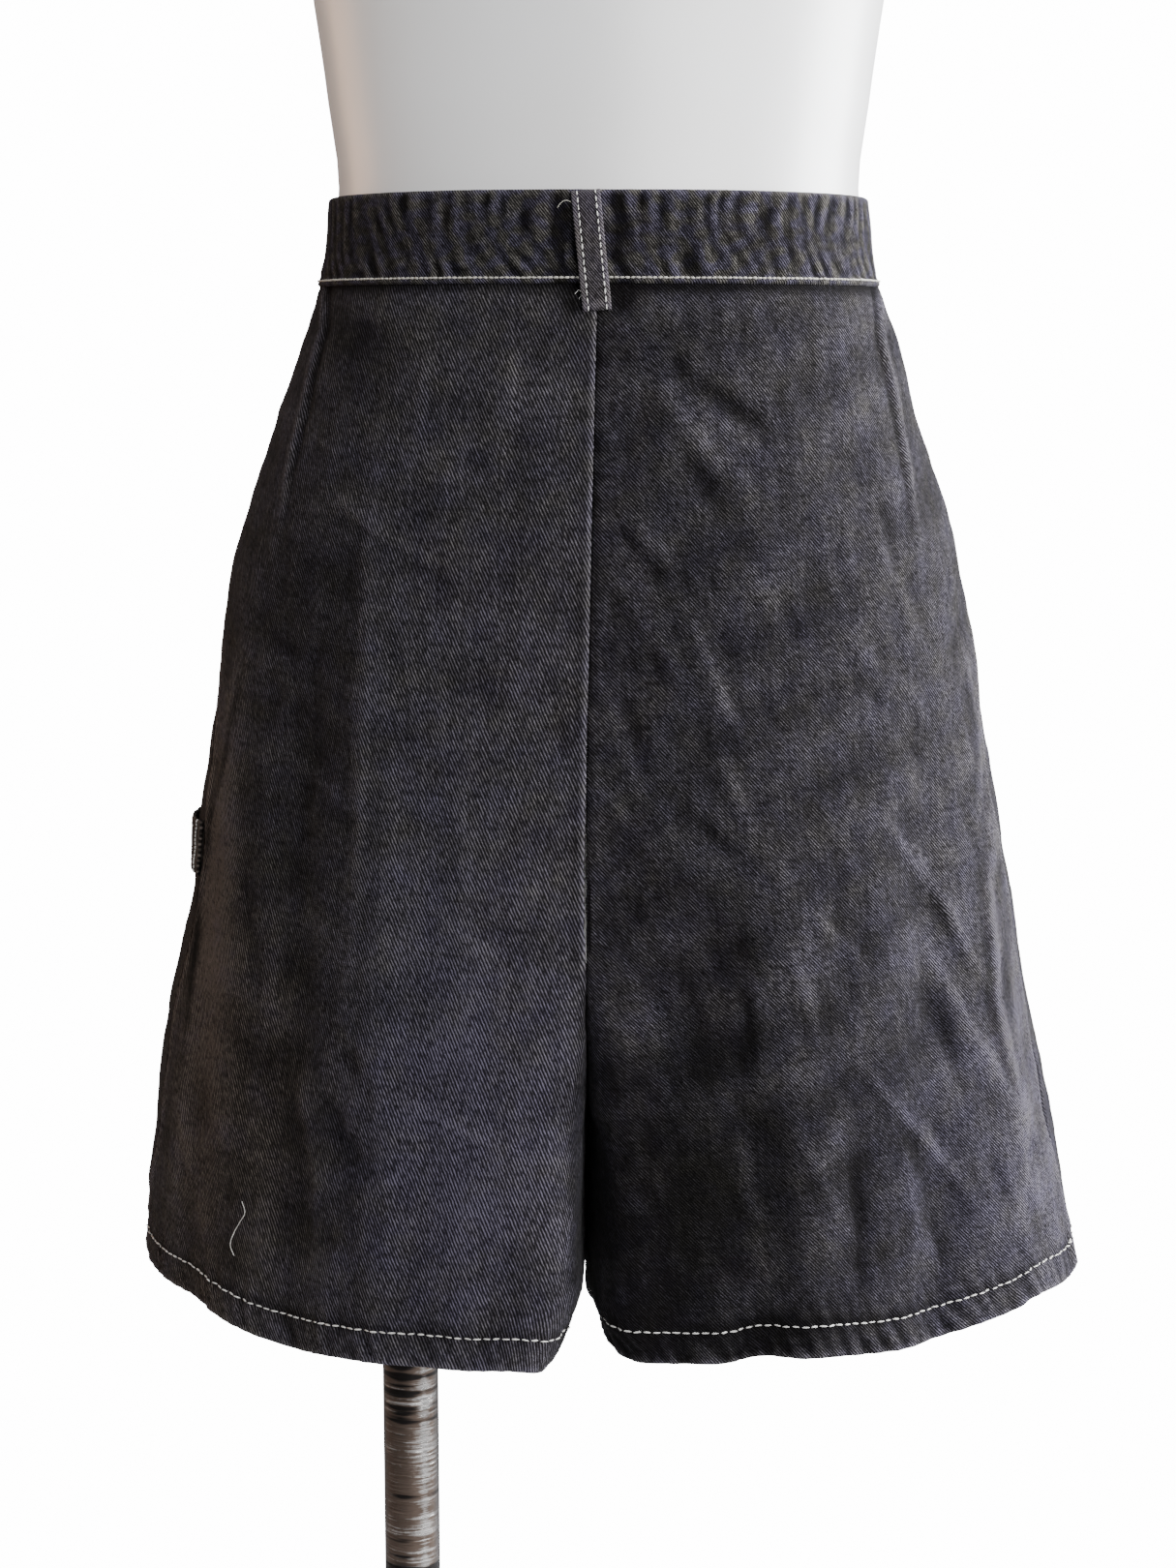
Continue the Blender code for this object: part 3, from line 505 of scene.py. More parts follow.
class SkortLights(bpy.types.PropertyGroup):
    """Strengths of the studio lights."""
    key: FloatProperty(name="Key", description="Large soft light from the right, in watts", default=188.0)
    front: FloatProperty(
        name="Front", description="Soft light from beside the camera, in watts", default=76.0)
    fill: FloatProperty(
        name="Fill", description="Weak warm light from behind at the left, in watts", default=15.0)
    top: FloatProperty(name="Top", description="Soft light from above, in watts", default=11.0)
    room: FloatProperty(name="Room", description="Even light from all round", default=0.23)
    backdrop: FloatProperty(name="Backdrop", description="Brightness behind the object", default=15.0)


# --- shapes in plan -------------------------------------------------------------------------------------

def smooth_step(value):
    value = np.clip(value, 0.0, 1.0)
    return value * value * (3.0 - 2.0 * value)


def bump(value):
    return np.exp(-value * value)


def through_rows(places, values, at):
    """Values on a smooth curve through a table's rows."""
    slopes = np.gradient(values, places)
    at = np.clip(at, places[0], places[-1])
    upper = np.clip(np.searchsorted(places, at, side="right"), 1, len(places) - 1)
    start, span = places[upper - 1], places[upper] - places[upper - 1]
    t = (at - start) / span
    low = (2 * t ** 3 - 3 * t ** 2 + 1) * values[upper - 1]
    low = low + (t ** 3 - 2 * t ** 2 + t) * span * slopes[upper - 1]
    high = (3 * t ** 2 - 2 * t ** 3) * values[upper] + (t ** 3 - t ** 2) * span * slopes[upper]
    return low + high


def shape(column, drop):
    table = np.array(SHAPE)
    return float(through_rows(table[:, 0], table[:, SHAPE_COLUMNS.index(column)], drop))


def centre_run(drop):
    """How far the centre seam has run from the face to the middle: 0 above the fork, 1 at the crotch."""
    t = min(max((drop - SIDE_FORK) / (CROTCH - SIDE_FORK), 0.0), 1.0)
    return 1.0 - math.sqrt(1.0 - t * t)


def fold_depth(face, x, drop):
    """Depth inwards of a face's broad folds at one height."""
    depth = np.zeros_like(x)
    for fold_face, x_high, drop_high, x_low, drop_low, half_width, deep in FOLDS:
        if fold_face != face:
            continue
        along = max((drop - drop_high) / (drop_low - drop_high), 0.0)
        grown = smooth_step((drop - drop_high) / FOLD_FADE)
        depth += deep * grown * bump((x - x_high - (x_low - x_high) * along) / half_width)
    return depth


def plan_normals(points):
    tangents = np.gradient(points, axis=0)
    tangents /= np.linalg.norm(tangents, axis=1)[:, None]
    return np.column_stack([-tangents[:, 1], tangents[:, 0]])


def half_outline(side, drop, face, split):
    """Plan curve of one quarter of the garment, from the side line to the centre edge of a leg if split."""
    width = shape("left" if side == LEFT else "right", drop)
    depth = seam_depth = shape("front", drop)
    if face == "back":
        depth = shape("back_left" if side == LEFT else "back_right", drop)
        seam_depth = shape("seam", drop)
    crest = shape("crest", drop)
    pinch = depth - seam_depth * (1.0 - centre_run(drop)) if split else 0.0
    pinch = min(pinch, depth - SEAM_GAP / 2)
    end = shape("gap", drop) - 0.0001 if split else 0.0
    outer = 2.0 / (OUTER_POWER_TOP + (OUTER_POWER_HEM - OUTER_POWER_TOP) * drop / LENGTH)
    inner = 2.0 / INNER_POWER
    angle = 0.5 * math.pi * np.linspace(0.0, 1.0, SAMPLES + 1)
    across = np.cos(angle)
    across[-1] = 0.0
    up = np.sin(angle)
    face_part = np.column_stack([crest + (width - crest) * across ** outer, depth * up ** outer])
    inner_part = np.column_stack([crest - (crest - end) * up ** inner,
                                  depth - pinch * (1.0 - across ** inner)])
    points = np.concatenate([face_part, inner_part[1:]])
    index = np.arange(len(points))
    fade = smooth_step(index / RUN_IN) * smooth_step((len(points) - 1 - index) / RUN_IN)
    points = points + plan_normals(points) * (fold_depth(face, side * points[:, 0], drop) * fade)[:, None]
    points = points * np.array([side, 1.0 if face == "front" else -1.0])
    points[:, 0] += shape("stray", drop) * (1.0 - np.minimum(np.abs(points[:, 0]) / width, 1.0)) ** 2
    return points


def normals_towards(points, axis, sign):
    """Plan normals, turned so that the first one points the given way along an axis."""
    normals = plan_normals(points)
    return -normals if normals[0][axis] * sign < 0 else normals


def at_drop(points, drop):
    """Plan points set at their distance below the waist's top."""
    return np.column_stack([points, np.full(len(points), WAIST_TOP - drop)])


def lengths(points):
    steps = np.linalg.norm(np.diff(points, axis=0), axis=1)
    return np.concatenate([[0.0], np.cumsum(steps)])


def resample(points, places):
    run = lengths(points)
    return np.column_stack([np.interp(places, run, points[:, axis]) for axis in range(points.shape[1])])


def cut(points, start, end):
    """The stretch of a curve between two distances along it."""
    run = lengths(points)
    inside = (run > start + 1e-9) & (run < end - 1e-9)
    return resample(points, np.concatenate([[start], run[inside], [end]]))


def side_set_back(drop):
    leaving = smooth_step((drop - 0.120) / 0.140)
    return float(SIDE_SEAM_SET_BACK * leaving * smooth_step((LENGTH + 0.030 - drop) / 0.100))


def back_outline(side, drop):
    outline = half_outline(side, drop, "back", True)
    return cut(outline, side_set_back(drop), lengths(outline)[-1])


def front_outline(side, drop, split):
    behind = half_outline(side, drop, "back", split)
    behind = cut(behind, 0.0, side_set_back(drop) + 1e-5)[::-1]
    return np.concatenate([behind, half_outline(side, drop, "front", split)[1:]])


def leg_outline(side, drop):
    """Front leg under the skirt panel, drawn in towards the leg's own middle line."""
    outline = front_outline(side, drop, True)
    run = lengths(outline) / lengths(outline)[-1]
    hang = LEG_HANG * smooth_step((drop - 0.10) / 0.30)
    inset = LEG_INSET + hang * smooth_step(run / 0.30)
    width = shape("left" if side == LEFT else "right", drop)
    return outline * (1.0 - np.column_stack([inset / width, inset / shape("front", drop)]))


def skirt_outline(drop):
    left = front_outline(LEFT, drop, False)
    return np.concatenate([left, front_outline(RIGHT, drop, False)[::-1][1:]])


def band_outline(drop):
    """Waistband, from its upper end at the centre front round the back to its lower end under it."""
    left = np.concatenate([half_outline(LEFT, drop, "front", False)[::-1],
                           half_outline(LEFT, drop, "back", False)[1:]])
    right = np.concatenate([half_outline(RIGHT, drop, "back", False)[::-1],
                            half_outline(RIGHT, drop, "front", False)[1:]])
    ring = np.concatenate([left, right[1:]])
    total = lengths(ring)[-1]
    ring = np.concatenate([cut(ring, total - BAND_OVERLAP / 2, total), ring[1:],
                           cut(ring, 0.0, BAND_OVERLAP / 2)[1:]])
    step = 1.0 - smooth_step((lengths(ring) - BAND_OVERLAP * 1.1) / 0.030)
    return ring + normals_towards(ring, 1, 1) * (BAND_PROUD + BAND_STEP * step)[:, None]


# --- places and creases ---------------------------------------------------------------------------------

def picture_place(points):
    """Where points fall in the picture's frame of 1215 by 1620 pixels."""
    sizes = bpy.context.scene.skort_sizes
    focal = sizes.lens / SENSOR * PICTURE_HEIGHT
    tilt = sizes.camera_tilt
    ahead = points[..., 1] + sizes.camera_distance
    above = points[..., 2] - sizes.camera_height
    deep = ahead * math.cos(tilt) - above * math.sin(tilt)
    high = ahead * math.sin(tilt) + above * math.cos(tilt)
    return np.stack([PICTURE_WIDTH / 2 + focal * (points[..., 0] - CAMERA_X) / deep,
                     PICTURE_HEIGHT / 2 - focal * high / deep], axis=-1)


def flat_place(points):
    """Millimetres across from the centre line and down from the waist's top."""
    return np.stack([points[..., 0], WAIST_TOP - points[..., 2]], axis=-1) * 1000.0


def beside_line(place, line):
    """Signed distance of places from a line through points, and the share along it."""
    nearest = np.full(place.shape[:-1], 1e9)
    signed = np.zeros_like(nearest)
    share = np.zeros_like(nearest)
    line = np.array(line, float)
    run = lengths(line)
    for index in range(len(line) - 1):
        step = line[index + 1] - line[index]
        offset = place - line[index]
        along = np.clip((offset @ step) / (step @ step), 0.0, 1.0)
        away = offset - along[..., None] * step
        distance = np.linalg.norm(away, axis=-1)
        closer = distance < nearest
        nearest = np.where(closer, distance, nearest)
        side = np.sign(step[0] * offset[..., 1] - step[1] * offset[..., 0])
        signed = np.where(closer, distance * side, signed)
        share = np.where(closer, (run[index] + along * (run[index + 1] - run[index])) / run[-1], share)
    return signed, share


def soft_noise(across, down, size, seed):
    """Smooth seeded unevenness of about -1 to 1, with the given size of its patches."""
    scatter = np.random.default_rng(seed)
    total = np.zeros_like(across)
    for turn, stretch, phase in zip(scatter.uniform(0, math.pi, 14), scatter.uniform(0.6, 1.7, 14),
                                    scatter.uniform(0, 2 * math.pi, 14)):
        wave = (across * math.cos(turn) + down * math.sin(turn)) * stretch / size
        total += np.cos(2 * math.pi * wave + phase)
    return total / 4.0


def crease_depth(place, creases):
    """Depth inwards in metres of soft uneven troughs and ridges."""
    depth = np.zeros(place.shape[:-1])
    for index, (half_width, deep, *line) in enumerate(creases):
        signed, share = beside_line(place, line)
        uneven = 1.0 + 0.3 * np.sin(share * 9.0 + index)
        taper = np.sin(math.pi * np.clip(share, 0.02, 0.98)) ** 0.6
        lopsided = np.where(signed > 0, 1.35, 0.75) if index % 2 else np.where(signed > 0, 0.75, 1.35)
        depth += 0.001 * deep * uneven * taper / (1.0 + (signed / (half_width * lopsided)) ** 2) ** 2
    return depth


def wash_and_light_tone(place, areas):
    """Sum of soft oval areas, each paler or darker."""
    tone = np.zeros(place.shape[:-1])
    for across, down, half_across, half_down, amount in areas:
        near = bump((place[..., 0] - across) / half_across)
        tone += amount * near * bump((place[..., 1] - down) / half_down)
    return tone


def painted_shading_tone(place, shades):
    """Sum of painted shade and light that is sharp along a line and fades away on one side of it."""
    tone = np.zeros(place.shape[:-1])
    for sharp, soft, amount, *line in shades:
        signed, share = beside_line(place, line)
        ends = smooth_step(share / 0.15) * smooth_step((1.0 - share) / 0.15)
        tone += amount * ends * smooth_step(signed / sharp) * bump(np.maximum(signed, 0.0) / soft)
    return tone


def line_tone(place, lines):
    """Sum of fine lines that fade out at their ends."""
    tone = np.zeros(place.shape[:-1])
    for half_width, amount, *line in lines:
        signed, share = beside_line(place, line)
        tone += amount * np.sin(math.pi * np.clip(share, 0.0, 1.0)) ** 0.5 * bump(signed / half_width)
    return tone


def blurred(values, reach):
    """Moving mean along both axes of a grid."""
    for axis, size in enumerate(reach):
        padded = np.concatenate([np.repeat(np.take(values, [0], axis), size + 1, axis), values,
                                 np.repeat(np.take(values, [-1], axis), size, axis)], axis)
        total = np.cumsum(padded, axis)
        count = 2 * size + 1
        values = (np.take(total, range(count, total.shape[axis]), axis)
                  - np.take(total, range(0, total.shape[axis] - count), axis)) / count
    return values


def hang_of(points, drop, side=0):
    """How the lower cloth strays from its even cut: the hem's sway, and the legs' drawn-apart corners."""
    table = np.array(HEM_SWAY)
    across = picture_place(points)[..., 0]
    behind = smooth_step((0.02 - points[..., 1]) / 0.03)
    rise = through_rows(table[:, 0], table[:, 1], across) * 0.001
    moved = np.zeros(points.shape)
    moved[..., 2] = rise * behind * smooth_step((drop - 0.395) / 0.075)
    near = smooth_step(1.0 - np.abs(points[..., 0]) / CORNER_REACH)
    if side:
        below = smooth_step((drop - CROTCH) / 0.050)
        round_back = np.sin(math.pi * np.clip(-points[..., 1] / 0.130, 0.0, 1.0))
        moved[..., 0] = -INNER_BOW * near * below * round_back
    if side == LEFT:
        low = (drop - CORNER_TOP) / (LENGTH - CORNER_TOP)
        moved[..., 0] -= LEFT_CORNER * np.clip(low, 0.0, 1.0) ** 1.1 * near
    elif side == RIGHT:
        low = (drop - CORNER_TOP - 0.008) / 0.015
        deep = smooth_step((-points[..., 1] - 0.045) / 0.030)
        moved[..., 0] += RIGHT_CORNER * smooth_step(low) * near * deep
    return moved


class Cloth:
    """Outer face of one cut piece, as rows of points, with distances across and down for its twill."""

    def __init__(self, rows, across, drops):
        self.points = np.array(rows)
        self.across = np.array(across)
        self.drop = np.repeat(np.array(drops)[:, None], self.points.shape[1], axis=1)
        self.normals = self.face_normals()
        self.pushed = np.zeros(self.drop.shape)
        self.tone = np.zeros(self.drop.shape)
        self.wear = np.zeros(self.drop.shape)
        self.cool = np.zeros(self.drop.shape)

    def face_normals(self):
        right = np.gradient(self.points, axis=1)
        down = np.gradient(self.points, axis=0)
        normals = np.cross(down, right)
        normals /= np.maximum(np.linalg.norm(normals, axis=2), 1e-12)[..., None]
        return normals

    def unevenness(self, size, seed):
        """Soft seeded unevenness over the piece laid flat."""
        return soft_noise(self.across, self.drop, size, seed)

    def face_outwards(self, centre):
        """Turns the normals away from a point of the plan, judged at the middle of the piece."""
        row, column = self.drop.shape[0] // 3, self.drop.shape[1] // 2
        away = self.points[row, column, :2] - np.array(centre)
        if self.normals[row, column, :2] @ away < 0:
            self.normals = -self.normals

    def push(self, inwards):
        """Moves the face inwards by a distance at each point; ridges come out."""
        self.points = self.points - self.normals * inwards[..., None]
        self.pushed += inwards

    def wear_ridges_shade_hollows(self, reach=(6, 6), gain=750.0):
        """Lightens what stands proud of its surroundings as rubbed wear, and darkens the hollows with painted
        shade.
        """
        # Hollows get a negative value, which is painted shade; proud places get a positive one, which is
        # rubbed wear.
        proud = blurred(self.pushed, reach) - self.pushed
        self.wear += np.clip(proud * gain, -0.5, 1.0)

    def size(self):
        """Width, length and area of the piece laid flat."""
        right = np.diff(self.points, axis=1)
        down = np.diff(self.points, axis=0)
        area = np.linalg.norm(np.cross(right[:-1], down[:, :-1]), axis=2).sum()
        width = np.linalg.norm(right, axis=2).sum(axis=1).max()
        length = np.linalg.norm(down, axis=2).sum(axis=0).max()
        return float(width), float(length), float(area)

    def row_at(self, drop):
        """Points and normals along one height of the finished face."""
        places = self.drop[:, 0]
        outer = int(np.argmax(places))
        row = float(np.interp(drop, places[:outer + 1], np.arange(outer + 1)))
        low = min(int(row), outer - 1)
        share = row - low
        points = self.points[low] * (1 - share) + self.points[low + 1] * share
        return points, self.normals[low]


def finished_mesh(name, body, skin):
    """Mesh of a bmesh, which is freed, with its finish."""
    mesh = bpy.data.meshes.new(name)
    body.to_mesh(mesh)
    body.free()
    mesh.materials.append(skin)
    return mesh


def cloth_mesh(name, cloth, skin):
    """Mesh of a piece's outer face, from an even grid that is laid onto the cloth."""
    rows, columns = cloth.drop.shape
    sheet = bmesh.new()
    bmesh.ops.create_grid(sheet, x_segments=columns - 1, y_segments=rows - 1, size=1.0)
    order = []
    for vert in sheet.verts:
        column = round((vert.co.x + 1.0) / 2.0 * (columns - 1))
        row = round((1.0 - vert.co.y) / 2.0 * (rows - 1))
        order.append((row, column))
        vert.co = cloth.points[row, column]
    sheet.normal_update()
    sheet.faces.ensure_lookup_table()
    middle = sheet.faces[(rows - 1) // 3 * (columns - 1) + (columns - 1) // 2]
    row, column = order[middle.verts[0].index]
    if middle.normal.dot(Vector(cloth.normals[row, column])) < 0:
        bmesh.ops.reverse_faces(sheet, faces=sheet.faces[:])
    for face in sheet.faces:
        face.smooth = True
    mesh = finished_mesh(name, sheet, skin)
    order = np.array(order)
    picked = (order[:, 0], order[:, 1])
    for label, values in (("wear", cloth.wear), ("tone", cloth.tone), ("cool", cloth.cool)):
        layer = mesh.attributes.new(label, "FLOAT", "POINT")
        layer.data.foreach_set("value", values[picked].astype(np.float32))
    corners = np.empty(len(mesh.loops), np.int32)
    mesh.loops.foreach_get("vertex_index", corners)
    flat = np.column_stack([cloth.across[picked], -cloth.drop[picked]])[corners]
    mesh.uv_layers.new(name="cut").data.foreach_set("uv", flat.astype(np.float32).ravel())
    return mesh


def place_object(name, mesh, node=None):
    item = bpy.data.objects.new(name, mesh)
    bpy.context.scene.collection.objects.link(item)
    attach(item, "root")
    if node:
        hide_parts(node)
    return item


def place_cloth(name, cloth, skin, wall, node):
    item = place_object(name, cloth_mesh(name, cloth, skin), node)
    solid = item.modifiers.new("Wall", "SOLIDIFY")
    solid.thickness = wall
    solid.offset = -1.0
    solid.use_rim = True
    width, length, area = cloth.size()
    area = min(area, width * length)
    return item


def turn_edges(cloth):
    """Turns both side edges of a finished piece straight inwards, as its seam allowances."""
    for label in ("points", "normals", "drop", *LAYERS):
        values = getattr(cloth, label)
        setattr(cloth, label, np.concatenate([values[:, :1], values, values[:, -1:]], axis=1))
    cloth.points[:, [0, -1]] -= cloth.normals[:, [0, -1]] * TURNED_EDGE
    cloth.across[:, 0] -= TURNED_EDGE
    cloth.across[:, -1] += TURNED_EDGE


def turn_hem(cloth, radius, length):
    """Folds the cloth round under its lowest row and up inside, along the back of its own face."""
    base, normals = cloth.points[-1], cloth.normals[-1].copy()
    normals[:, 2] = 0.0
    normals /= np.linalg.norm(normals, axis=1)[:, None]
    rows, drops = [], []
    low = cloth.drop[-1, 0]
    for angle in (30, 60, 90, 120, 150, 180):
        turn = math.radians(angle)
        sunk = np.array([0, 0, radius * math.sin(turn)])
        rows.append(base - normals * radius * (1 - math.cos(turn)) - sunk)
        drops.append(low + radius * turn)
    for up in np.linspace(0.25, 1.0, 4) * (length - radius):
        face, _ = cloth.row_at(low - up)
        rows.append(face - normals * radius * 2)
        drops.append(low + radius * math.pi + up)
    count = len(rows)
    cloth.points = np.concatenate([cloth.points, np.array(rows)])
    cloth.drop = np.concatenate([cloth.drop, np.repeat(np.array(drops)[:, None], len(base), axis=1)])
    cloth.normals = np.concatenate([cloth.normals, np.repeat(normals[None], count, axis=0)])
    for label in LAYERS:
        values = getattr(cloth, label)
        setattr(cloth, label, np.concatenate([values, np.repeat(values[-1:], count, axis=0)]))


def finish_edges(cloth):
    """Stitch row of a panel's hem; then its hem and its seam allowances are turned."""
    sizes = bpy.context.scene.skort_sizes
    row = (*cloth.row_at(LENGTH - HEM_TURN_UP), sizes.stitch_pitch, sizes.thread * 0.9, 0.80)
    turn_hem(cloth, sizes.fold_radius, HEM_TURN_UP)
    turn_edges(cloth)
    return row


# --- finishes -------------------------------------------------------------------------------------------

class Wire:
    """One output of a material's nodes, with arithmetic that adds Math nodes."""

    def __init__(self, finish, socket):
        self.finish = finish
        self.socket = socket

    def __add__(self, other):
        return self.finish.maths("ADD", self, other)

    def __sub__(self, other):
        return self.finish.maths("SUBTRACT", self, other)

    def __rsub__(self, other):
        return self.finish.maths("SUBTRACT", other, self)

    def __mul__(self, other):
        return self.finish.maths("MULTIPLY", self, other)

    def __truediv__(self, other):
        return self.finish.maths("DIVIDE", self, other)

    def __rtruediv__(self, other):
        return self.finish.maths("DIVIDE", other, self)

    def __pow__(self, other):
        return self.finish.maths("POWER", self, other)

    __radd__ = __add__
    __rmul__ = __mul__

    def sine(self):
        return self.finish.maths("SINE", self)

    def clamped(self, low=0.0, high=1.0):
        return self.finish.maths("MINIMUM", self.finish.maths("MAXIMUM", self, low), high)


class Finish:
    """One material and the way its nodes are added."""

    def __init__(self, name, **constants):
        self.material = bpy.data.materials.new(name)
        self.material.use_nodes = True
        self.tree = self.material.node_tree
        self.surface = self.tree.nodes["Principled BSDF"]
        for label, value in constants.items():
            label = label.replace("_", " ").title().replace("Ior", "IOR")
            self.surface.inputs[label].default_value = value

    def add(self, kind, settings=None, values=None, output=0):
        """Adds a node: its settings first, then the values or links of its sockets."""
        node = self.tree.nodes.new(kind)
        for label, value in (settings or {}).items():
            setattr(node, label, value)
        for label, value in (values or {}).items():
            self.feed(node.inputs[label], value)
        return Wire(self, node.outputs[output])

    def feed(self, socket, value):
        if isinstance(value, Wire):
            self.tree.links.new(value.socket, socket)
        else:
            socket.default_value = value

    def maths(self, operation, *values):
        return self.add("ShaderNodeMath", {"operation": operation}, dict(enumerate(values)))

    def blend(self, factor, first, second, mode="MIX"):
        """Mixes two colours."""
        settings = {"data_type": "RGBA", "blend_type": mode}
        first = (*first, 1.0) if isinstance(first, tuple) else first
        second = (*second, 1.0) if isinstance(second, tuple) else second
        return self.add("ShaderNodeMix", settings, {0: factor, 6: first, 7: second}, 2)

    def vector(self, x, y, z=0.0):
        return self.add("ShaderNodeCombineXYZ", None, {"X": x, "Y": y, "Z": z})

    def noise(self, vector, scale, detail=2.0, rough=0.5):
        """Fractal noise around 0, in about -0.5 to 0.5."""
        values = {"Vector": vector, "Scale": scale, "Detail": detail, "Roughness": rough}
        return self.add("ShaderNodeTexNoise", {"noise_dimensions": "3D"}, values) - 0.5

    def split(self, vector):
        node = self.tree.nodes.new("ShaderNodeSeparateXYZ")
        self.feed(node.inputs[0], vector)
        return [Wire(self, socket) for socket in node.outputs]

    def attribute(self, name):
        return self.add("ShaderNodeAttribute", {"attribute_name": name}, None, 2)

    def relief(self, height, depth, strength=1.0):
        normal = self.add("ShaderNodeBump", None, {"Strength": strength, "Distance": depth, "Height": height})
        self.feed(self.surface.inputs["Normal"], normal)


def denim(name):
    """The finish of one cloth, from its row of the table."""
    return twill(name, **TWILLS[name])


def twill(name, angle, fade, contrast=1.0, pitch=1.0, cast=(1.0, 1.0, 1.0), brown=0.0):
    """Faded black twill that follows a piece's cut: broken floats, slubs, wash mottling and rubbed edges,
    with the painted light and shade that the piece's attributes carry.
    """
    scene = bpy.context.scene
    colours, sizes = scene.skort_colours, scene.skort_sizes
    cloth = Finish(name, roughness=0.95, specular_ior_level=0.035, sheen_weight=0.026, sheen_roughness=0.45)
    u, v, _ = cloth.split(cloth.add("ShaderNodeUVMap", {"uv_map": "cut"}))
    flat = cloth.vector(u, v)
    angle = math.radians(angle)
    drift = cloth.noise(flat, 420.0, 2.0, 0.6)
    slant = 1.0 / math.tan(angle)
    lines = (u + v * slant) / (sizes.twill_pitch * pitch) + drift * 0.34
    along = v / (0.0030 * math.sin(angle))
    wave = (lines * (2.0 * math.pi)).sine()
    line = (wave * 0.5 + 0.5) ** 1.7
    floats = cloth.noise(cloth.vector(lines * 1.2, along), 1.0, 2.0, 0.65)
    fibres = cloth.noise(flat, 1400.0, 2.0, 0.6)
    slub = cloth.noise(cloth.vector(u * 700.0, v * 30.0), 1.0, 2.0)
    cross = cloth.noise(cloth.vector(u * 40.0, v * 500.0), 1.0, 2.0)
    patches = cloth.noise(flat, 110.0, 4.0, 0.7)
    clouds = cloth.noise(flat, 24.0, 3.0, 0.55)
    # tone and wear carry painted light and shade along with the wash's patches and rubbed wear.
    wear, tone = cloth.attribute("wear"), cloth.attribute("tone")
    level = fade + tone + wear * 0.22 + patches * 0.14 + clouds * 0.035
    level = level.clamped(0.09, 0.9)
    broken = (1.0 + floats * 3.8 + slub * 0.7 + cross * 0.5).clamped(0.05, 2.6)
    specks = ((fibres + floats * 0.7) * 4.0 - 0.75).clamped() * (line * 0.5 + 0.5)
    level = level * (0.34 + line * broken * (1.74 * contrast)) + fibres * broken * (0.78 * contrast) * level
    level = level + specks * (0.19 * contrast)
    level = level.clamped()
    dye = cloth.blend(level ** 1.55, tuple(colours.denim_dark), tuple(colours.denim_pale))
    hue = cloth.noise(flat, 60.0, 4.0, 0.65)
    # cool carries the wash's tints and, at the back's outlines, painted warm and cool light.
    cool = cloth.attribute("cool")
    coolness = (hue * 1.9 + 0.5 + cool).clamped()
    tint = cloth.blend(coolness, tuple(colours.denim_olive), tuple(colours.denim_violet))
    dye = cloth.blend(1.0, dye, tint, "MULTIPLY")
    # Brown where the cloth is warm: painted warm light at the back's left outline, the strap's own colour on
    # the hammer loop.
    if brown:
        dye = cloth.blend((cool * -brown - 0.15).clamped(), dye, tuple(colours.denim_brown), "MULTIPLY")
    dye = cloth.blend(1.0, dye, cast, "MULTIPLY")
    cloth.feed(cloth.surface.inputs["Base Color"], dye)
    cloth.relief(line * 0.55 + floats * 1.0 + fibres * 0.4 + slub * 0.4, 0.00030, 0.7)
    return cloth.material


def thread_finish(name, label="thread_white"):
    """Soiled sewing thread of one of the named colours."""
    colour = tuple(getattr(bpy.context.scene.skort_colours, label))
    thread = Finish(name, roughness=0.75, specular_ior_level=0.2, sheen_weight=0.15)
    place = thread.add("ShaderNodeTexCoord", None, None, 3)
    soil = thread.noise(place, 900.0, 3.0)
    strand = thread.noise(place, 4000.0, 2.0)
    level = (0.72 + soil * 0.9 + strand * 0.5).clamped(0.25, 1.0)
    dark = tuple(value * 0.25 for value in colour)
    thread.feed(thread.surface.inputs["Base Color"], thread.blend(level, dark, colour))
    thread.relief(strand, 0.0001, 0.5)
    return thread.material


def gloss_white():
    gloss = Finish(
        "form_gloss", roughness=0.30, specular_ior_level=0.5, coat_weight=0.35, coat_roughness=0.28)
    place = gloss.add("ShaderNodeTexCoord", None, None, 3)
    cloud = gloss.noise(place, 7.0, 3.0)
    colour = tuple(bpy.context.scene.skort_colours.form_white)
    shade = tuple(value * scale for value, scale in zip(colour, (0.93, 0.91, 0.88)))
    gloss.feed(gloss.surface.inputs["Base Color"], gloss.blend((cloud * 1.5 + 0.5).clamped(), colour, shade))
    gloss.feed(gloss.surface.inputs["Roughness"], gloss.noise(place, 40.0, 4.0) * 0.12 + 0.34)
    gloss.relief(gloss.noise(place, 26.0, 2.0), 0.0006, 0.25)
    return gloss.material


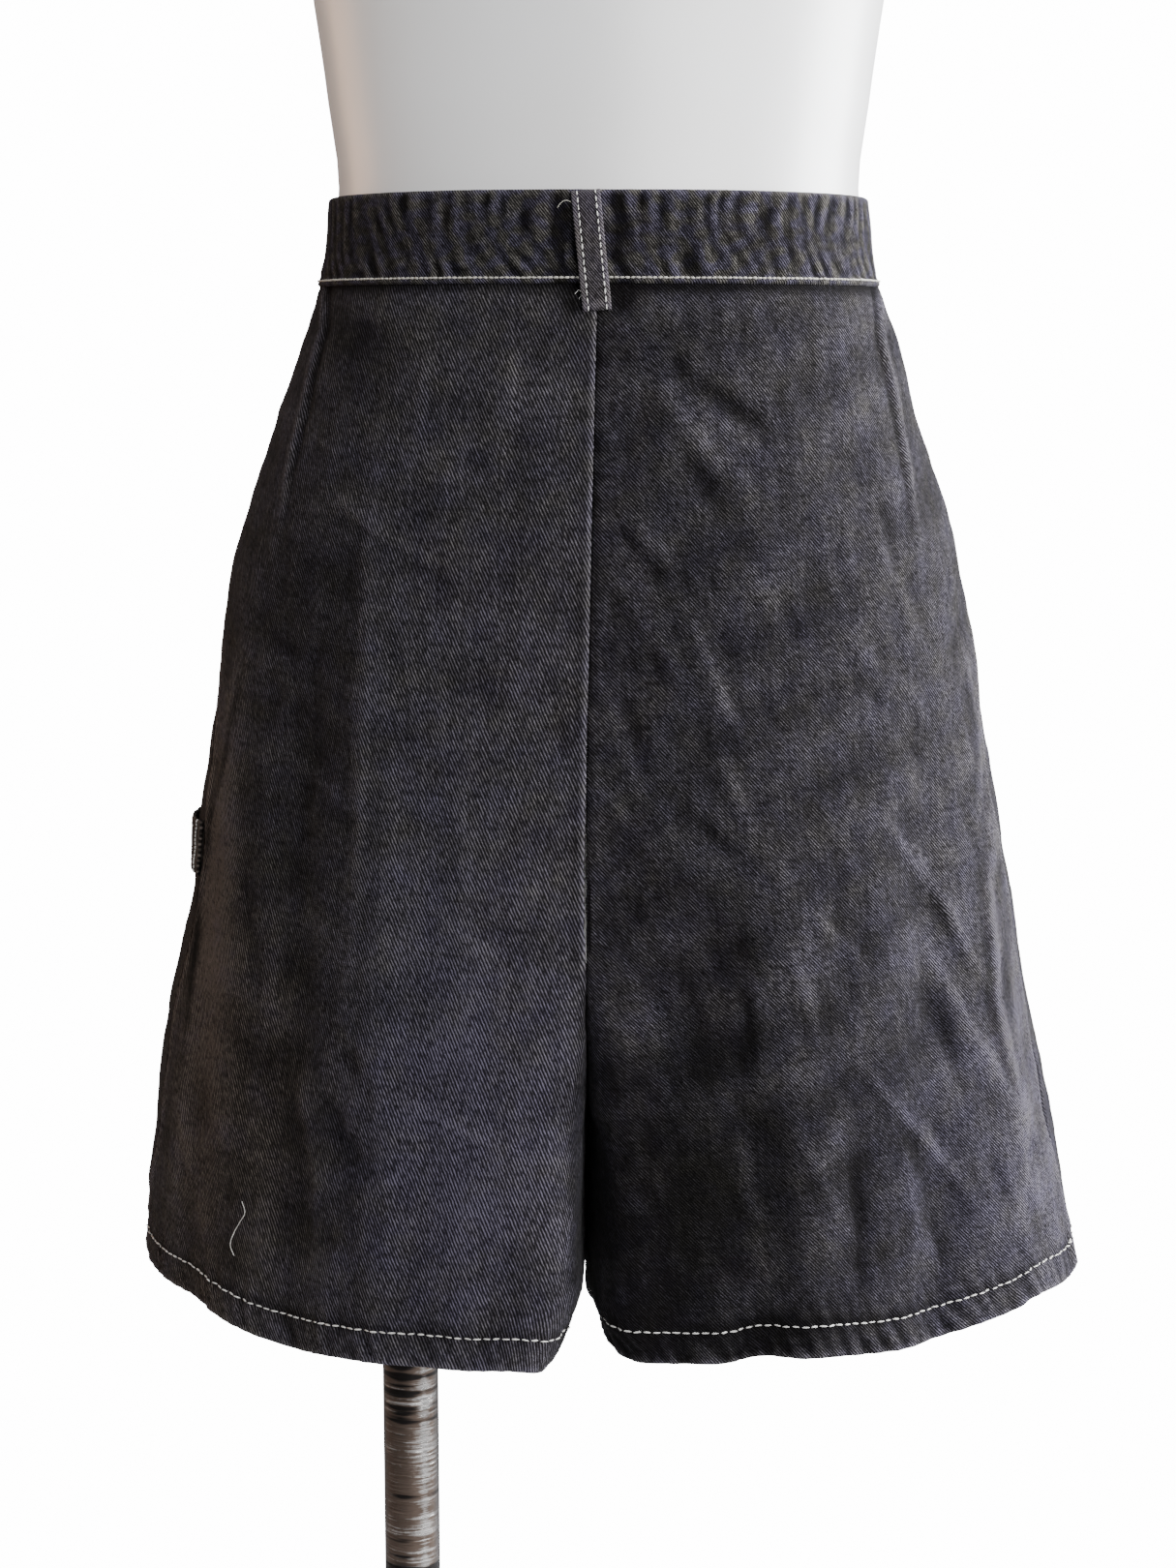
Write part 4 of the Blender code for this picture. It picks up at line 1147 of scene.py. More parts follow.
def worn_chrome(name, painted_light=False):
    """Polished metal with fine scratches round it, soiled bands and a few bare dark ones; the pole's finish
    also has a painted highlight in a stripe on its right side, painted shade left of its middle and painted
    shade along both sides of its outline."""
    chrome = Finish(name, metallic=1.0, specular_ior_level=0.5)
    place = chrome.add("ShaderNodeTexCoord", None, None, 3)
    x, y, z = chrome.split(place)
    bands = chrome.noise(chrome.vector(x * 6.0, y * 6.0, z * 190.0), 1.0, 3.0, 0.6)
    wide = chrome.noise(chrome.vector(x * 5.0, y * 5.0, z * 48.0), 1.0, 2.0, 0.5)
    scratch = chrome.noise(chrome.vector(x * 30.0, y * 30.0, z * 900.0), 1.0, 3.0, 0.7)
    spots = chrome.noise(place, 340.0, 3.0, 0.7)
    dull = bands * 3.0 + scratch * 2.4 + spots * 1.2 + 0.55
    if painted_light:
        beside = (x - POLE_X) / bpy.context.scene.skort_sizes.pole_radius
        # Painted highlight: a bright stripe on the pole's right side.
        painted_highlight = (beside - 0.52) * 6.0
        painted_highlight = 1.0 / (painted_highlight * painted_highlight + 1.0)
        # Painted shade left of the pole's middle.
        shaded = (beside + 0.30) * 2.2
        shaded = 1.0 / (shaded * shaded + 1.0)
        dull = dull + scratch * 1.9 + shaded * 0.45 - painted_highlight * 0.95 + 0.56
        bare = ((bands * 1.5 + wide * 1.2 + shaded * 0.16 - painted_highlight * 0.12 - 0.20) * 9.0).clamped()
        # Painted shade along both sides of the pole's outline.
        edge = (((beside * beside) - 0.62) * 3.2).clamped()
    else:
        bare = ((bands * 1.1 + wide * 1.6 - 0.24) * 12.0).clamped()
    dull = dull.clamped()
    colour = tuple(bpy.context.scene.skort_colours.chrome)
    soiled = tuple(value * scale for value, scale in zip(colour, (0.20, 0.155, 0.13)))
    tint = chrome.blend(dull, colour, soiled)
    if painted_light:
        # Darkens both sides of the pole's outline: painted shade.
        tint = chrome.blend(edge * 0.75, tint, (0.11, 0.11, 0.115))
    chrome.feed(chrome.surface.inputs["Base Color"], chrome.blend(bare * 0.92, tint, (0.012, 0.012, 0.013)))
    chrome.feed(chrome.surface.inputs["Roughness"], dull * 0.22 + 0.20)
    chrome.relief(scratch + bands * 0.5, 0.0004, 0.8)
    return chrome.material


def aged_metal():
    metal = Finish("button_metal", metallic=1.0)
    place = metal.add("ShaderNodeTexCoord", None, None, 3)
    spots = metal.noise(place, 900.0, 4.0, 0.65)
    colour = tuple(bpy.context.scene.skort_colours.button)
    dark = tuple(value * 0.35 for value in colour)
    metal.feed(metal.surface.inputs["Base Color"], metal.blend((spots * 2.4 + 0.5).clamped(), dark, colour))
    metal.feed(metal.surface.inputs["Roughness"], spots * 0.5 + 0.42)
    metal.relief(spots, 0.0002, 0.5)
    return metal.material


# --- cut pieces -----------------------------------------------------------------------------------------

def leg_rows(fine):
    """Drops of a leg panel's rows, from just under the waistband to the start of the hem's fold."""
    radius = bpy.context.scene.skort_sizes.fold_radius
    turns = np.sin(np.linspace(0.0, math.pi / 2, round(ROWS_AT_FORK * fine) + 1))[1:]
    return np.concatenate([np.linspace(BAND_HEIGHT - 0.002, SIDE_FORK, round(ROWS_ABOVE_FORK * fine)),
                           SIDE_FORK + (CROTCH - SIDE_FORK) * turns,
                           np.linspace(CROTCH, LENGTH - radius, round(ROWS_BELOW_CROTCH * fine))[1:]])


def leg_cloth(side, outline_at, fine, sign):
    """A leg panel: even columns to its fullest line, then closer round its inner corner."""
    rows, across, edges = [], [], []
    drops = leg_rows(fine)
    face, inner = round(FACE_COLUMNS * fine), round(INNER_COLUMNS * fine)
    for drop in drops:
        outline = outline_at(side, drop)
        run = lengths(outline)
        crest, end = run[-1 - SAMPLES], run[-1]
        shares = (np.arange(1, inner + 1) / inner) ** INNER_CLOSING
        places = np.concatenate([np.linspace(0.0, crest, face), crest + (end - crest) * shares])
        points = resample(outline, places)
        rows.append(at_drop(points, drop))
        across.append(sign * (places - crest))
        edges.append(np.column_stack([places, end - places]))
    rows = np.array(rows)
    cloth = Cloth(rows + hang_of(rows, drops[:, None], side), across, drops)
    cloth.face_outwards((side * 0.10, 0.0))
    cloth.from_side, cloth.from_centre = np.moveaxis(np.array(edges), 2, 0)
    return cloth


def hem_relief(cloth, seed):
    """Turned-up hem: a proud band below the stitches, with slanted puckers, painted shade along the groove
    above the band and painted light and shade on the puckers.
    """
    sizes = bpy.context.scene.skort_sizes
    above = LENGTH - cloth.drop
    uneven = cloth.unevenness(0.050, seed)
    phase = 2 * math.pi * (cloth.across + above * PUCKER_SLANT) / sizes.pucker_pitch + 2.2 * uneven
    inside = smooth_step((HEM_TURN_UP - above) / 0.0020 + 0.5)
    edge = smooth_step(above / 0.004)
    fade = np.where(above > HEM_TURN_UP, bump((above - HEM_TURN_UP) / 0.012), 1.0)
    strength = 1.0 + 0.5 * cloth.unevenness(0.030, seed + 1)
    inwards = -0.00032 * inside
    inwards += 0.00034 * bump((above - HEM_TURN_UP) / 0.0011)
    inwards -= PUCKER_DEPTH * np.sin(phase) * fade * strength * (0.35 + 0.65 * edge)
    cloth.push(inwards)
    cloth.wear += 1.20 * bump((above - 0.0002) / 0.0020) * (0.8 + 0.3 * np.sin(phase))
    # Painted shade along the groove just above the turned-up band.
    cloth.tone -= 0.12 * bump((above - HEM_TURN_UP - 0.001) / 0.0022)
    # Painted light on the puckers' crests and painted shade in their troughs.
    cloth.tone += 0.11 * np.sin(phase) * inside * strength * bump((above - 0.006) / 0.008)


def seat_under_band(cloth):
    """Paints shade on a panel just under the waistband's lip, and gives how far its face is pressed in there.
    """
    below = cloth.drop - BAND_HEIGHT
    cloth.tone -= 0.16 * bump((below - 0.001) / 0.0030)
    return 0.00060 * bump(below / 0.0022)


def back_panel(side):
    cloth = leg_cloth(side, back_outline, 1.0, -side)
    place = picture_place(cloth.points)
    inwards = crease_depth(place, BACK_CREASES)
    below = smooth_step((cloth.drop - BAND_HEIGHT) / 0.012)
    seeded = bpy.context.scene.skort_sizes.seed + side
    inwards += 0.00045 * cloth.unevenness(0.050, seeded) * below
    inwards += 0.00016 * cloth.unevenness(0.016, seeded + 5) * below
    signed, share = beside_line(flat_place(cloth.points), DARTS[side])
    signed = signed * side
    fade = smooth_step((1.0 - share) / DART_FADE)
    dart = fade * (0.0011 * bump((signed - 1.3) / 1.3) - 0.0009 * bump((signed + 1.3) / 1.5))
    inwards += dart
    centre = cloth.from_centre
    uneven = 1.5 * cloth.unevenness(0.06, seeded + 9)
    inwards += 0.00018 * np.sin(2 * math.pi * cloth.drop / 0.011 + uneven) * bump(centre / 0.010)
    if side == LEFT:
        inwards -= 0.00070 * bump((centre - 0.0012) / 0.0020)
        cloth.wear += 0.95 * bump((centre - 0.0010) / 0.0015)
    else:
        inwards += 0.00045 * bump(centre / 0.0030)
        cloth.tone -= 0.12 * bump(centre / 0.0034)
    inwards += 0.00040 * bump(centre / 0.0005)
    aside = cloth.from_side
    inwards -= 0.00080 * bump((aside - 0.0026) / 0.0022)
    inwards += 0.00070 * bump(aside / 0.0007)
    cloth.wear += 0.45 * bump((aside - 0.0022) / 0.0018)
    cloth.tone -= 0.14 * bump(aside / 0.0007)
    inwards += seat_under_band(cloth)
    cloth.push(inwards)
    # Patches of the wash, with painted shade and light where the back turns from or faces the lamps.
    cloth.tone += wash_and_light_tone(place, BACK_WASH_AND_SHADE) + painted_shading_tone(place, BACK_PAINTED_SHADING)
    cloth.cool += wash_and_light_tone(place, BACK_CAST)
    cloth.wear_ridges_shade_hollows()
    hem_relief(cloth, seeded + 20)
    # Pale rubbed lines with painted highlights on lit crease ridges, and painted shade in crease troughs.
    cloth.wear += line_tone(place, RUBBED_AND_SHADED_LINES)
    cloth.wear += fade * 0.30 * bump((signed + 1.2) / 1.2)
    return cloth


def front_cloth(side):
    cloth = leg_cloth(side, leg_outline, 0.55, side)
    seeded = bpy.context.scene.skort_sizes.seed + 40 + side
    cloth.push(0.00040 * cloth.unevenness(0.060, seeded))
    cloth.wear_ridges_shade_hollows((3, 3))
    hem_relief(cloth, seeded)
    return cloth


def skirt_cloth():
    drops = leg_rows(0.62)
    rows, across, edges = [], [], []
    for drop in drops:
        outline = skirt_outline(drop)
        run = lengths(outline)
        places = np.linspace(0.0, run[-1], SKIRT_COLUMNS)
        points = resample(outline, places)
        middle = float(np.interp(0.0, outline[:, 0], run))
        rows.append(at_drop(points, drop))
        across.append(middle - places)
        edges.append(np.minimum(places, run[-1] - places))
    rows = np.array(rows)
    rows[..., 2] += hang_of(rows, drops[:, None])[..., 2]
    cloth = Cloth(rows, across, drops)
    cloth.face_outwards((0.0, 0.0))
    place = flat_place(cloth.points)
    edges = np.array(edges)
    ahead = smooth_step((cloth.points[..., 1] + 0.02) / 0.05)
    seeded = bpy.context.scene.skort_sizes.seed + 60
    inwards = crease_depth(place, FRONT_CREASES) * ahead
    inwards += 0.00050 * cloth.unevenness(0.050, seeded)
    inwards += 0.00016 * cloth.unevenness(0.016, seeded + 1)
    inwards += 0.00120 * bump(edges / 0.0016)
    inwards += seat_under_band(cloth)
    cloth.push(inwards)
    cloth.tone += 0.03 * cloth.unevenness(0.140, seeded + 2)
    cloth.wear_ridges_shade_hollows((4, 4), 330.0)
    hem_relief(cloth, seeded + 3)
    cloth.wear += 0.20 * bump((edges - 0.002) / 0.0020)
    picture = picture_place(cloth.points)
    behind = cloth.points[..., 1] < 0.0
    # Where the skirt shows at the back, it takes the back's rubbed lines with their painted highlights and
    # shade, and its casts with their painted warm and cool light.
    cloth.wear += line_tone(picture, RUBBED_AND_SHADED_LINES) * behind
    cloth.cool += wash_and_light_tone(picture, BACK_CAST) * behind
    return cloth


def band_cloth():
    """Waistband with rounded folds, a lip under its lower edge stitch and roping along both edges, with
    painted light and shade on the roping.
    """
    sizes = bpy.context.scene.skort_sizes
    fold, inset = BAND_FOLD, BAND_STITCH_INSET
    drops = np.concatenate([fold * (1 - np.cos(np.linspace(0.0, math.pi / 2, 5))),
                            np.linspace(inset, BAND_HEIGHT - inset, 26),
                            BAND_HEIGHT - fold * (1 - np.cos(np.linspace(math.pi / 2, 0.0, 5)))])
    rows, across = [], []
    for drop in drops:
        outline = band_outline(drop)
        run = lengths(outline)
        places = np.linspace(0.0, run[-1], BAND_COLUMNS)
        points = resample(outline, places)
        rows.append(at_drop(points, drop))
        behind = outline[:, 1] < 0.0
        across.append(places - np.interp(0.0, outline[behind, 0], run[behind]))
    cloth = Cloth(rows, across, drops)
    cloth.face_outwards((0.0, 0.0))
    top, low = cloth.drop, BAND_HEIGHT - cloth.drop
    seeded = sizes.seed + 80
    sway = cloth.unevenness(0.045, seeded)
    strength = np.clip(0.9 + 0.7 * cloth.unevenness(0.028, seeded + 1), 0.1, 2.0)
    upper = np.sin(2 * math.pi * (cloth.across - top * 0.22) / sizes.pucker_pitch + 2.6 * sway)
    lower = np.sin(2 * math.pi * (cloth.across - top * 0.30) / sizes.pucker_pitch + 2.8 * sway + 1.0)
    inwards = -0.00022 * upper * bump((top - 0.007) / 0.009) * strength
    inwards -= 0.00030 * lower * bump((low - 0.006) / 0.006) * strength
    inwards += 0.00020 * cloth.unevenness(0.040, seeded + 2)
    inwards += fold * (1 - np.sin(np.clip(top / fold, 0, 1) * math.pi / 2)) * 0.9
    inwards += fold * (1 - np.sin(np.clip(low / fold, 0, 1) * math.pi / 2)) * 0.9
    inwards -= 0.00050 * bump((low - 0.0016) / 0.0016)
    inwards += 0.00035 * bump((low - 0.0040) / 0.0012)
    cloth.push(inwards)
    cloth.wear_ridges_shade_hollows((3, 3), 500.0)
    patch = cloth.unevenness(0.007, seeded + 3)
    # Painted light on the roping's crests and painted shade in its hollows.
    cloth.tone += 0.15 * upper * bump((top - 0.008) / 0.010) * strength
    cloth.tone += 0.15 * lower * bump((low - 0.008) / 0.007) * strength
    cloth.cool += 0.9 * cloth.unevenness(0.010, seeded + 4)
    cloth.tone += 0.035 * patch - 0.03 * bump((top - 0.020) / 0.005)
    cloth.wear += 1.00 * bump((top - 0.0003) / 0.0013) + 0.30 * bump((low - 0.0012) / 0.0014)
    # Painted shadow beside the belt loop, and darker patches of the wash.
    shade = wash_and_light_tone(picture_place(cloth.points), BAND_WASH_AND_SHADOW)
    cloth.tone += np.where(cloth.points[..., 1] < 0, shade, 0.0)
    return cloth


def strip_cloth(path, outward, across_way, width, columns, round_edge):
    """Flat strap along a path, with rounded long edges."""
    shares = np.linspace(-1.0, 1.0, columns)
    rows, across = [], []
    drops = lengths(path)
    for point, out, way in zip(path, outward, across_way):
        dip = round_edge * np.clip((np.abs(shares) - 0.80) / 0.20, 0.0, 1.0) ** 2
        rows.append(point + np.outer(shares * width / 2, way) - np.outer(dip, out))
        across.append(shares * width / 2)
    cloth = Cloth(rows, across, drops)
    middle = (len(path) // 2, columns // 2)
    if cloth.normals[middle] @ outward[middle[0]] < 0:
        cloth.normals = -cloth.normals
    return cloth


def belt_loop_cloth():
    """Belt loop over the waistband at the centre back, arched between its two sewn ends."""
    sizes = bpy.context.scene.skort_sizes
    count = 54
    share = np.linspace(0.0, 1.0, count)
    drop = 0.0004 + (sizes.loop_length - 0.0004) * share
    rise = smooth_step(share / 0.20) * smooth_step((1.0 - share) / 0.20)
    x = -0.0056 + 0.0048 * share
    base = np.array([shape("seam", value) for value in drop]) + BAND_PROUD * (drop < BAND_HEIGHT + 0.0015)
    past = drop - BAND_HEIGHT
    lip = 0.0006 * smooth_step((past + 0.004) / 0.002) * smooth_step((0.004 - past) / 0.003)
    ends = 0.0016 * (1 - smooth_step(share / 0.03)) + 0.0012 * (1 - smooth_step((1 - share) / 0.03))
    path = np.column_stack([x, -(base + 0.0022 + 0.0019 * rise + lip - ends), WAIST_TOP - drop])
    outward = np.tile([0.0, -1.0, 0.0], (count, 1))
    way = np.tile([1.0, 0.0, 0.08], (count, 1))
    cloth = strip_cloth(path, outward, way, sizes.loop_width, 30, 0.0004)
    aside = sizes.loop_width / 2 - np.abs(cloth.across)
    inwards = 0.00025 * bump((aside - 0.0026) / 0.0007)
    inwards += 0.00006 * cloth.unevenness(0.010, sizes.seed + 90)
    cloth.push(inwards)
    cloth.wear_ridges_shade_hollows((3, 3))
    cloth.tone += 0.55 * bump((aside - 0.0007) / 0.0010)
    foot = cloth.drop - sizes.loop_length + 0.0008
    cloth.tone += 0.20 * bump(cloth.drop / 0.0012) + 0.34 * bump(foot / 0.0014)
    return cloth


def hammer_loop_cloth():
    """Strap round the wearer's left thigh, sewn at both ends and standing off between them."""
    count, columns = 26, 70
    places = HAMMER_START + HAMMER_LENGTH * np.linspace(0.0, 1.0, columns)
    share = np.linspace(0.0, 1.0, columns)
    rise = smooth_step(share / 0.20) * smooth_step((1.0 - share) / 0.20)
    rows, across = [], []
    drops = HAMMER_TOP + HAMMER_WIDTH * np.linspace(0.0, 1.0, count)
    for drop in drops:
        outline = front_outline(LEFT, drop, False)
        outward = normals_towards(outline, 0, -1)
        run = lengths(outline)
        points = resample(outline, places)
        out = np.column_stack([np.interp(places, run, outward[:, axis]) for axis in (0, 1)])
        edge = min(drop - drops[0], drops[-1] - drop)
        dip = 0.0006 * max(0.0, 1.0 - edge / 0.0015) ** 2
        stand_off = 0.0018 + (0.0020 - 0.0014 * (drop - drops[0]) / HAMMER_WIDTH) * rise
        points = points + out * (stand_off - dip)[:, None]
        rows.append(at_drop(points, drop))
        across.append(-places)
    cloth = Cloth(rows, across, drops)
    cloth.face_outwards((0.0, 0.0))
    edge = np.minimum(cloth.drop - drops[0], drops[-1] - cloth.drop)
    inwards = 0.00030 * bump((edge - 0.0034) / 0.0008)
    inwards += 0.00018 * cloth.unevenness(0.012, HAMMER_SEED)
    cloth.push(inwards)
    cloth.wear_ridges_shade_hollows((3, 3))
    cloth.wear += 0.60 * bump((edge - 0.0005) / 0.0009)
    cloth.wear += 0.60 * bump((share - 0.01) / 0.02)
    cloth.cool -= 0.5
    return cloth


def fly_cloth():
    """Fly flap on the skirt panel, with its curved lower end."""
    rows, across = [], []
    turn = np.sin(np.linspace(0, math.pi / 2, 26))[1:]
    shares = np.concatenate([np.linspace(0.0, 0.70, 40), 0.70 + 0.30 * turn])
    for share in shares:
        drop = BAND_HEIGHT + FLY_LENGTH * share
        outline = skirt_outline(drop)
        middle = float(np.interp(0.0, outline[:, 0], lengths(outline)))
        curve = max(share - 0.70, 0.0) / 0.32
        width = FLY_WIDTH * math.sqrt(1.0 - curve * curve)
        places = np.linspace(middle - width, middle + 0.002, FLY_COLUMNS)
        points = resample(outline, places)
        points = points + normals_towards(points, 1, 1) * 0.0016
        rows.append(at_drop(points, drop))
        across.append(middle - places)
    cloth = Cloth(rows, across, BAND_HEIGHT + FLY_LENGTH * shares)
    cloth.face_outwards((0.0, 0.0))
    edge = np.minimum(cloth.across[:, :1] - cloth.across, cloth.across - cloth.across[:, -1:])
    inwards = 0.0007 * bump(edge / 0.0008) + 0.00025 * bump((edge - 0.003) / 0.0009)
    inwards += 0.0003 * cloth.unevenness(0.030, FLY_SEED)
    cloth.push(inwards)
    cloth.wear_ridges_shade_hollows((3, 3))
    cloth.wear += 0.4 * bump((edge - 0.0006) / 0.0010)
    return cloth


# --- stitches -------------------------------------------------------------------------------------------

def stitch_row(mesh, points, normals, pitch, thread, seed, fill=0.68):
    """Adds one row of separate stitches that lie along a line on the cloth."""
    scatter = np.random.default_rng(seed)
    run = lengths(points)
    places = np.arange(pitch * 0.5, run[-1] - pitch * 0.4, pitch)
    middles = resample(points, places)
    ahead = resample(points, np.minimum(places + 0.0005, run[-1]))
    ahead = ahead - resample(points, np.maximum(places - 0.0005, 0))
    outs = np.column_stack([np.interp(places, run, normals[:, axis]) for axis in range(3)])
    for start in range(0, len(places), STITCHES_AT_ONCE):
        few = slice(start, start + STITCHES_AT_ONCE)
        row = bmesh.new()
        for middle, way, out in zip(middles[few], ahead[few], outs[few]):
            way, out = Vector(way).normalized(), Vector(out).normalized()
            beside = out.cross(way).normalized()
            way = (way + beside * float(scatter.uniform(-0.10, 0.10))).normalized()
            beside = out.cross(way).normalized()
            length = pitch * fill * float(scatter.uniform(0.90, 1.08)) / 2
            width = thread / 2 * float(scatter.uniform(0.85, 1.15))
            centre = Vector(middle) + out * (width * 0.35)
            turn = Matrix((way * length, beside * width, out * width)).transposed().to_4x4()
            bmesh.ops.create_uvsphere(row, u_segments=6, v_segments=6, radius=1.0, matrix=Matrix.Translation(
                centre) @ turn @ Matrix.Rotation(math.pi / 2, 4, "Y"))
        for face in row.faces:
            face.smooth = True
        bmesh.ops.recalc_face_normals(row, faces=row.faces[:])
        part = bpy.data.meshes.new("row")
        row.to_mesh(part)
        row.free()
        mesh.from_mesh(part)
        bpy.data.meshes.remove(part)


def place_stitches(name, rows, skin):
    """One piece from several rows of stitches, given as the arguments of stitch_row."""
    joined = bmesh.new()
    for index, (points, normals, pitch, thread, *rest) in enumerate(rows):
        stitch_row(joined, points, normals, pitch, thread, STITCH_SEED + index, *rest)
    return place_object(name, finished_mesh(name, joined, skin), None)


def on_cloth(cloth, pixels, lift):
    """Points just off a cloth, at places of the picture's frame."""
    place = picture_place(cloth.points)
    points = []
    for pixel in pixels:
        offset = np.array(pixel) - place
        nearest = np.unravel_index(np.argmin((offset ** 2).sum(axis=-1)), offset.shape[:2])
        aside, down = offset[nearest] * METRES_PER_PIXEL
        points.append(cloth.points[nearest] + cloth.normals[nearest] * lift + np.array([aside, 0.0, -down]))
    return np.array(points)


def loose_thread(name, points, skin):
    """A thread's loose end, as a thin tube through points."""
    curve = bpy.data.curves.new(name, "CURVE")
    curve.dimensions = "3D"
    curve.bevel_depth = LOOSE_THREAD_RADIUS
    curve.bevel_resolution = 1
    curve.use_fill_caps = True
    spline = curve.splines.new("POLY")
    run = lengths(points)
    even = np.linspace(0, run[-1], 24)
    smooth = np.column_stack([through_rows(run, points[:, axis], even) for axis in range(3)])
    spline.points.add(len(smooth) - 1)
    for knot, place in zip(spline.points, smooth):
        knot.co = (*place, 1.0)
    curve.materials.append(skin)
    return place_object(name, curve, None)


# --- turned pieces --------------------------------------------------------------------------------------

def turned_mesh(name, profile, centre, skin, steps=72):
    """Solid turned about an upright axis from (radius, height) points."""
    body = bmesh.new()
    verts = [body.verts.new((radius, 0.0, height)) for radius, height in profile]
    edges = [body.edges.new(pair) for pair in zip(verts, verts[1:])]
    bmesh.ops.spin(body, geom=verts + edges, cent=(0, 0, 0), axis=(0, 0, 1), angle=2 * math.pi, steps=steps,
                   use_merge=True, use_duplicate=False)
    bmesh.ops.remove_doubles(body, verts=body.verts[:], dist=0.00005)
    bmesh.ops.recalc_face_normals(body, faces=body.faces[:])
    bmesh.ops.translate(body, verts=body.verts[:], vec=centre)
    for face in body.faces:
        face.smooth = True
    return finished_mesh(name, body, skin)


def rounded(profile, radius, steps=5):
    """A profile whose inner points are replaced by small arcs."""
    points = [Vector(point) for point in profile]
    smooth = [points[0]]
    for before, corner, after in zip(points, points[1:], points[2:]):
        reach = min(radius, (corner - before).length * 0.45, (after - corner).length * 0.45)
        start = corner + (before - corner).normalized() * reach
        end = corner + (after - corner).normalized() * reach
        for step in range(steps + 1):
            t = step / steps
            smooth.append(start * (1 - t) ** 2 + corner * 2 * t * (1 - t) + end * t * t)
    return [tuple(point) for point in smooth + [points[-1]]]


def form_mesh(skin):
    table = np.array(FORM)
    heights = np.unique(np.concatenate([np.linspace(table[0, 0], table[-1, 0], 70), table[:, 0]]))
    body = bmesh.new()
    before = None
    for height in heights:
        half_width, half_depth, forward = [float(through_rows(table[:, 0], table[:, axis], height))
                                           for axis in (1, 2, 3)]
        verts = bmesh.ops.create_circle(body, cap_ends=False, radius=1.0, segments=96)["verts"]
        bmesh.ops.scale(body, verts=verts, vec=(half_width, half_depth, 1.0))
        bmesh.ops.translate(body, verts=verts, vec=(0.0, forward, height))
        edges = list({edge for vert in verts for edge in vert.link_edges})
        if before:
            bmesh.ops.bridge_loops(body, edges=before + edges)
        before = edges
    bmesh.ops.holes_fill(body, edges=body.edges[:], sides=0)
    bmesh.ops.recalc_face_normals(body, faces=body.faces[:])
    for face in body.faces:
        face.smooth = len(face.verts) == 4
    return finished_mesh("form_body", body, skin)


# --- operators ------------------------------------------------------------------------------------------

class SKORT_OT_back_legs(bpy.types.Operator):
    """Two back leg panels with their hem stitches, darts, creases and loose thread ends."""
    bl_idname = "skort.back_legs"
    bl_label = "Back leg panels"

    def execute(self, context):
        sizes = context.scene.skort_sizes
        white = thread_finish("topstitch_white")
        rows = []
        for side, word in ((LEFT, "left"), (RIGHT, "right")):
            cloth = back_panel(side)
            if side == LEFT:
                for name, pixels in LOOSE_THREADS:
                    loose_thread(name, on_cloth(cloth, pixels, 0.0006), white)
            rows.append(finish_edges(cloth))
            skin = denim("back_denim_" + word)
            place_cloth("back_cloth_" + word, cloth, skin, sizes.wall, "back_" + word)
        place_stitches("hem_stitches_back", rows, white)
        return {"FINISHED"}


class SKORT_OT_front_legs(bpy.types.Operator):
    """Two front leg panels, which lie under the skirt panel."""
    bl_idname = "skort.front_legs"
    bl_label = "Front leg panels"

    def execute(self, context):
        sizes = context.scene.skort_sizes
        white = thread_finish("topstitch_front")
        rows = []
        for side, word in ((LEFT, "left"), (RIGHT, "right")):
            cloth = front_cloth(side)
            rows.append(finish_edges(cloth))
            skin = denim("front_denim_" + word)
            place_cloth("front_cloth_" + word, cloth, skin, sizes.wall, "front_" + word)
        place_stitches("hem_stitches_front", rows, white)
        return {"FINISHED"}


class SKORT_OT_skirt(bpy.types.Operator):
    """Skirt panel across the front, with its fly flap."""
    bl_idname = "skort.skirt"
    bl_label = "Skirt panel and fly"

    def execute(self, context):
        sizes = context.scene.skort_sizes
        white = thread_finish("topstitch_skirt")
        skirt = skirt_cloth()
        rows = [finish_edges(skirt)]
        place_cloth("skirt_cloth", skirt, denim("skirt_denim"), sizes.wall, "front_skirt")
        fly = fly_cloth()
        for inset in (3, 8):
            straight = fly.points[:40, inset]
            rounding = fly.points[40:-inset // 2, inset]
            line = np.concatenate([straight, rounding, fly.points[-1 - inset // 2, inset:-inset]])
            out = np.concatenate([fly.normals[:40, inset], fly.normals[40:-inset // 2, inset],
                                  fly.normals[-1 - inset // 2, inset:-inset]])
            rows.append((line, out, sizes.stitch_pitch * 0.8, sizes.thread))
        place_cloth("fly_cloth", fly, denim("fly_denim"), FLY_WALL, "fly")
        place_stitches("skirt_stitches", rows, white)
        return {"FINISHED"}


class SKORT_OT_waistband(bpy.types.Operator):
    """Waistband with its edge stitches and a loose thread at the belt loop."""
    bl_idname = "skort.waistband"
    bl_label = "Waistband"

    def execute(self, context):
        sizes = context.scene.skort_sizes
        band = band_cloth()
        cream = thread_finish("edge_stitch_cream", "thread_cream")
        rows = [(*band.row_at(BAND_HEIGHT - BAND_STITCH_INSET), sizes.edge_pitch, sizes.thread * 1.05, 1.00)]
        place_cloth("waistband_cloth", band, denim("band_denim"), sizes.band_wall, "waistband")
        place_stitches("waistband_stitches", rows, cream)
        loose_thread("loop_thread", on_cloth(band, BAND_THREAD, 0.0012), cream)
        return {"FINISHED"}


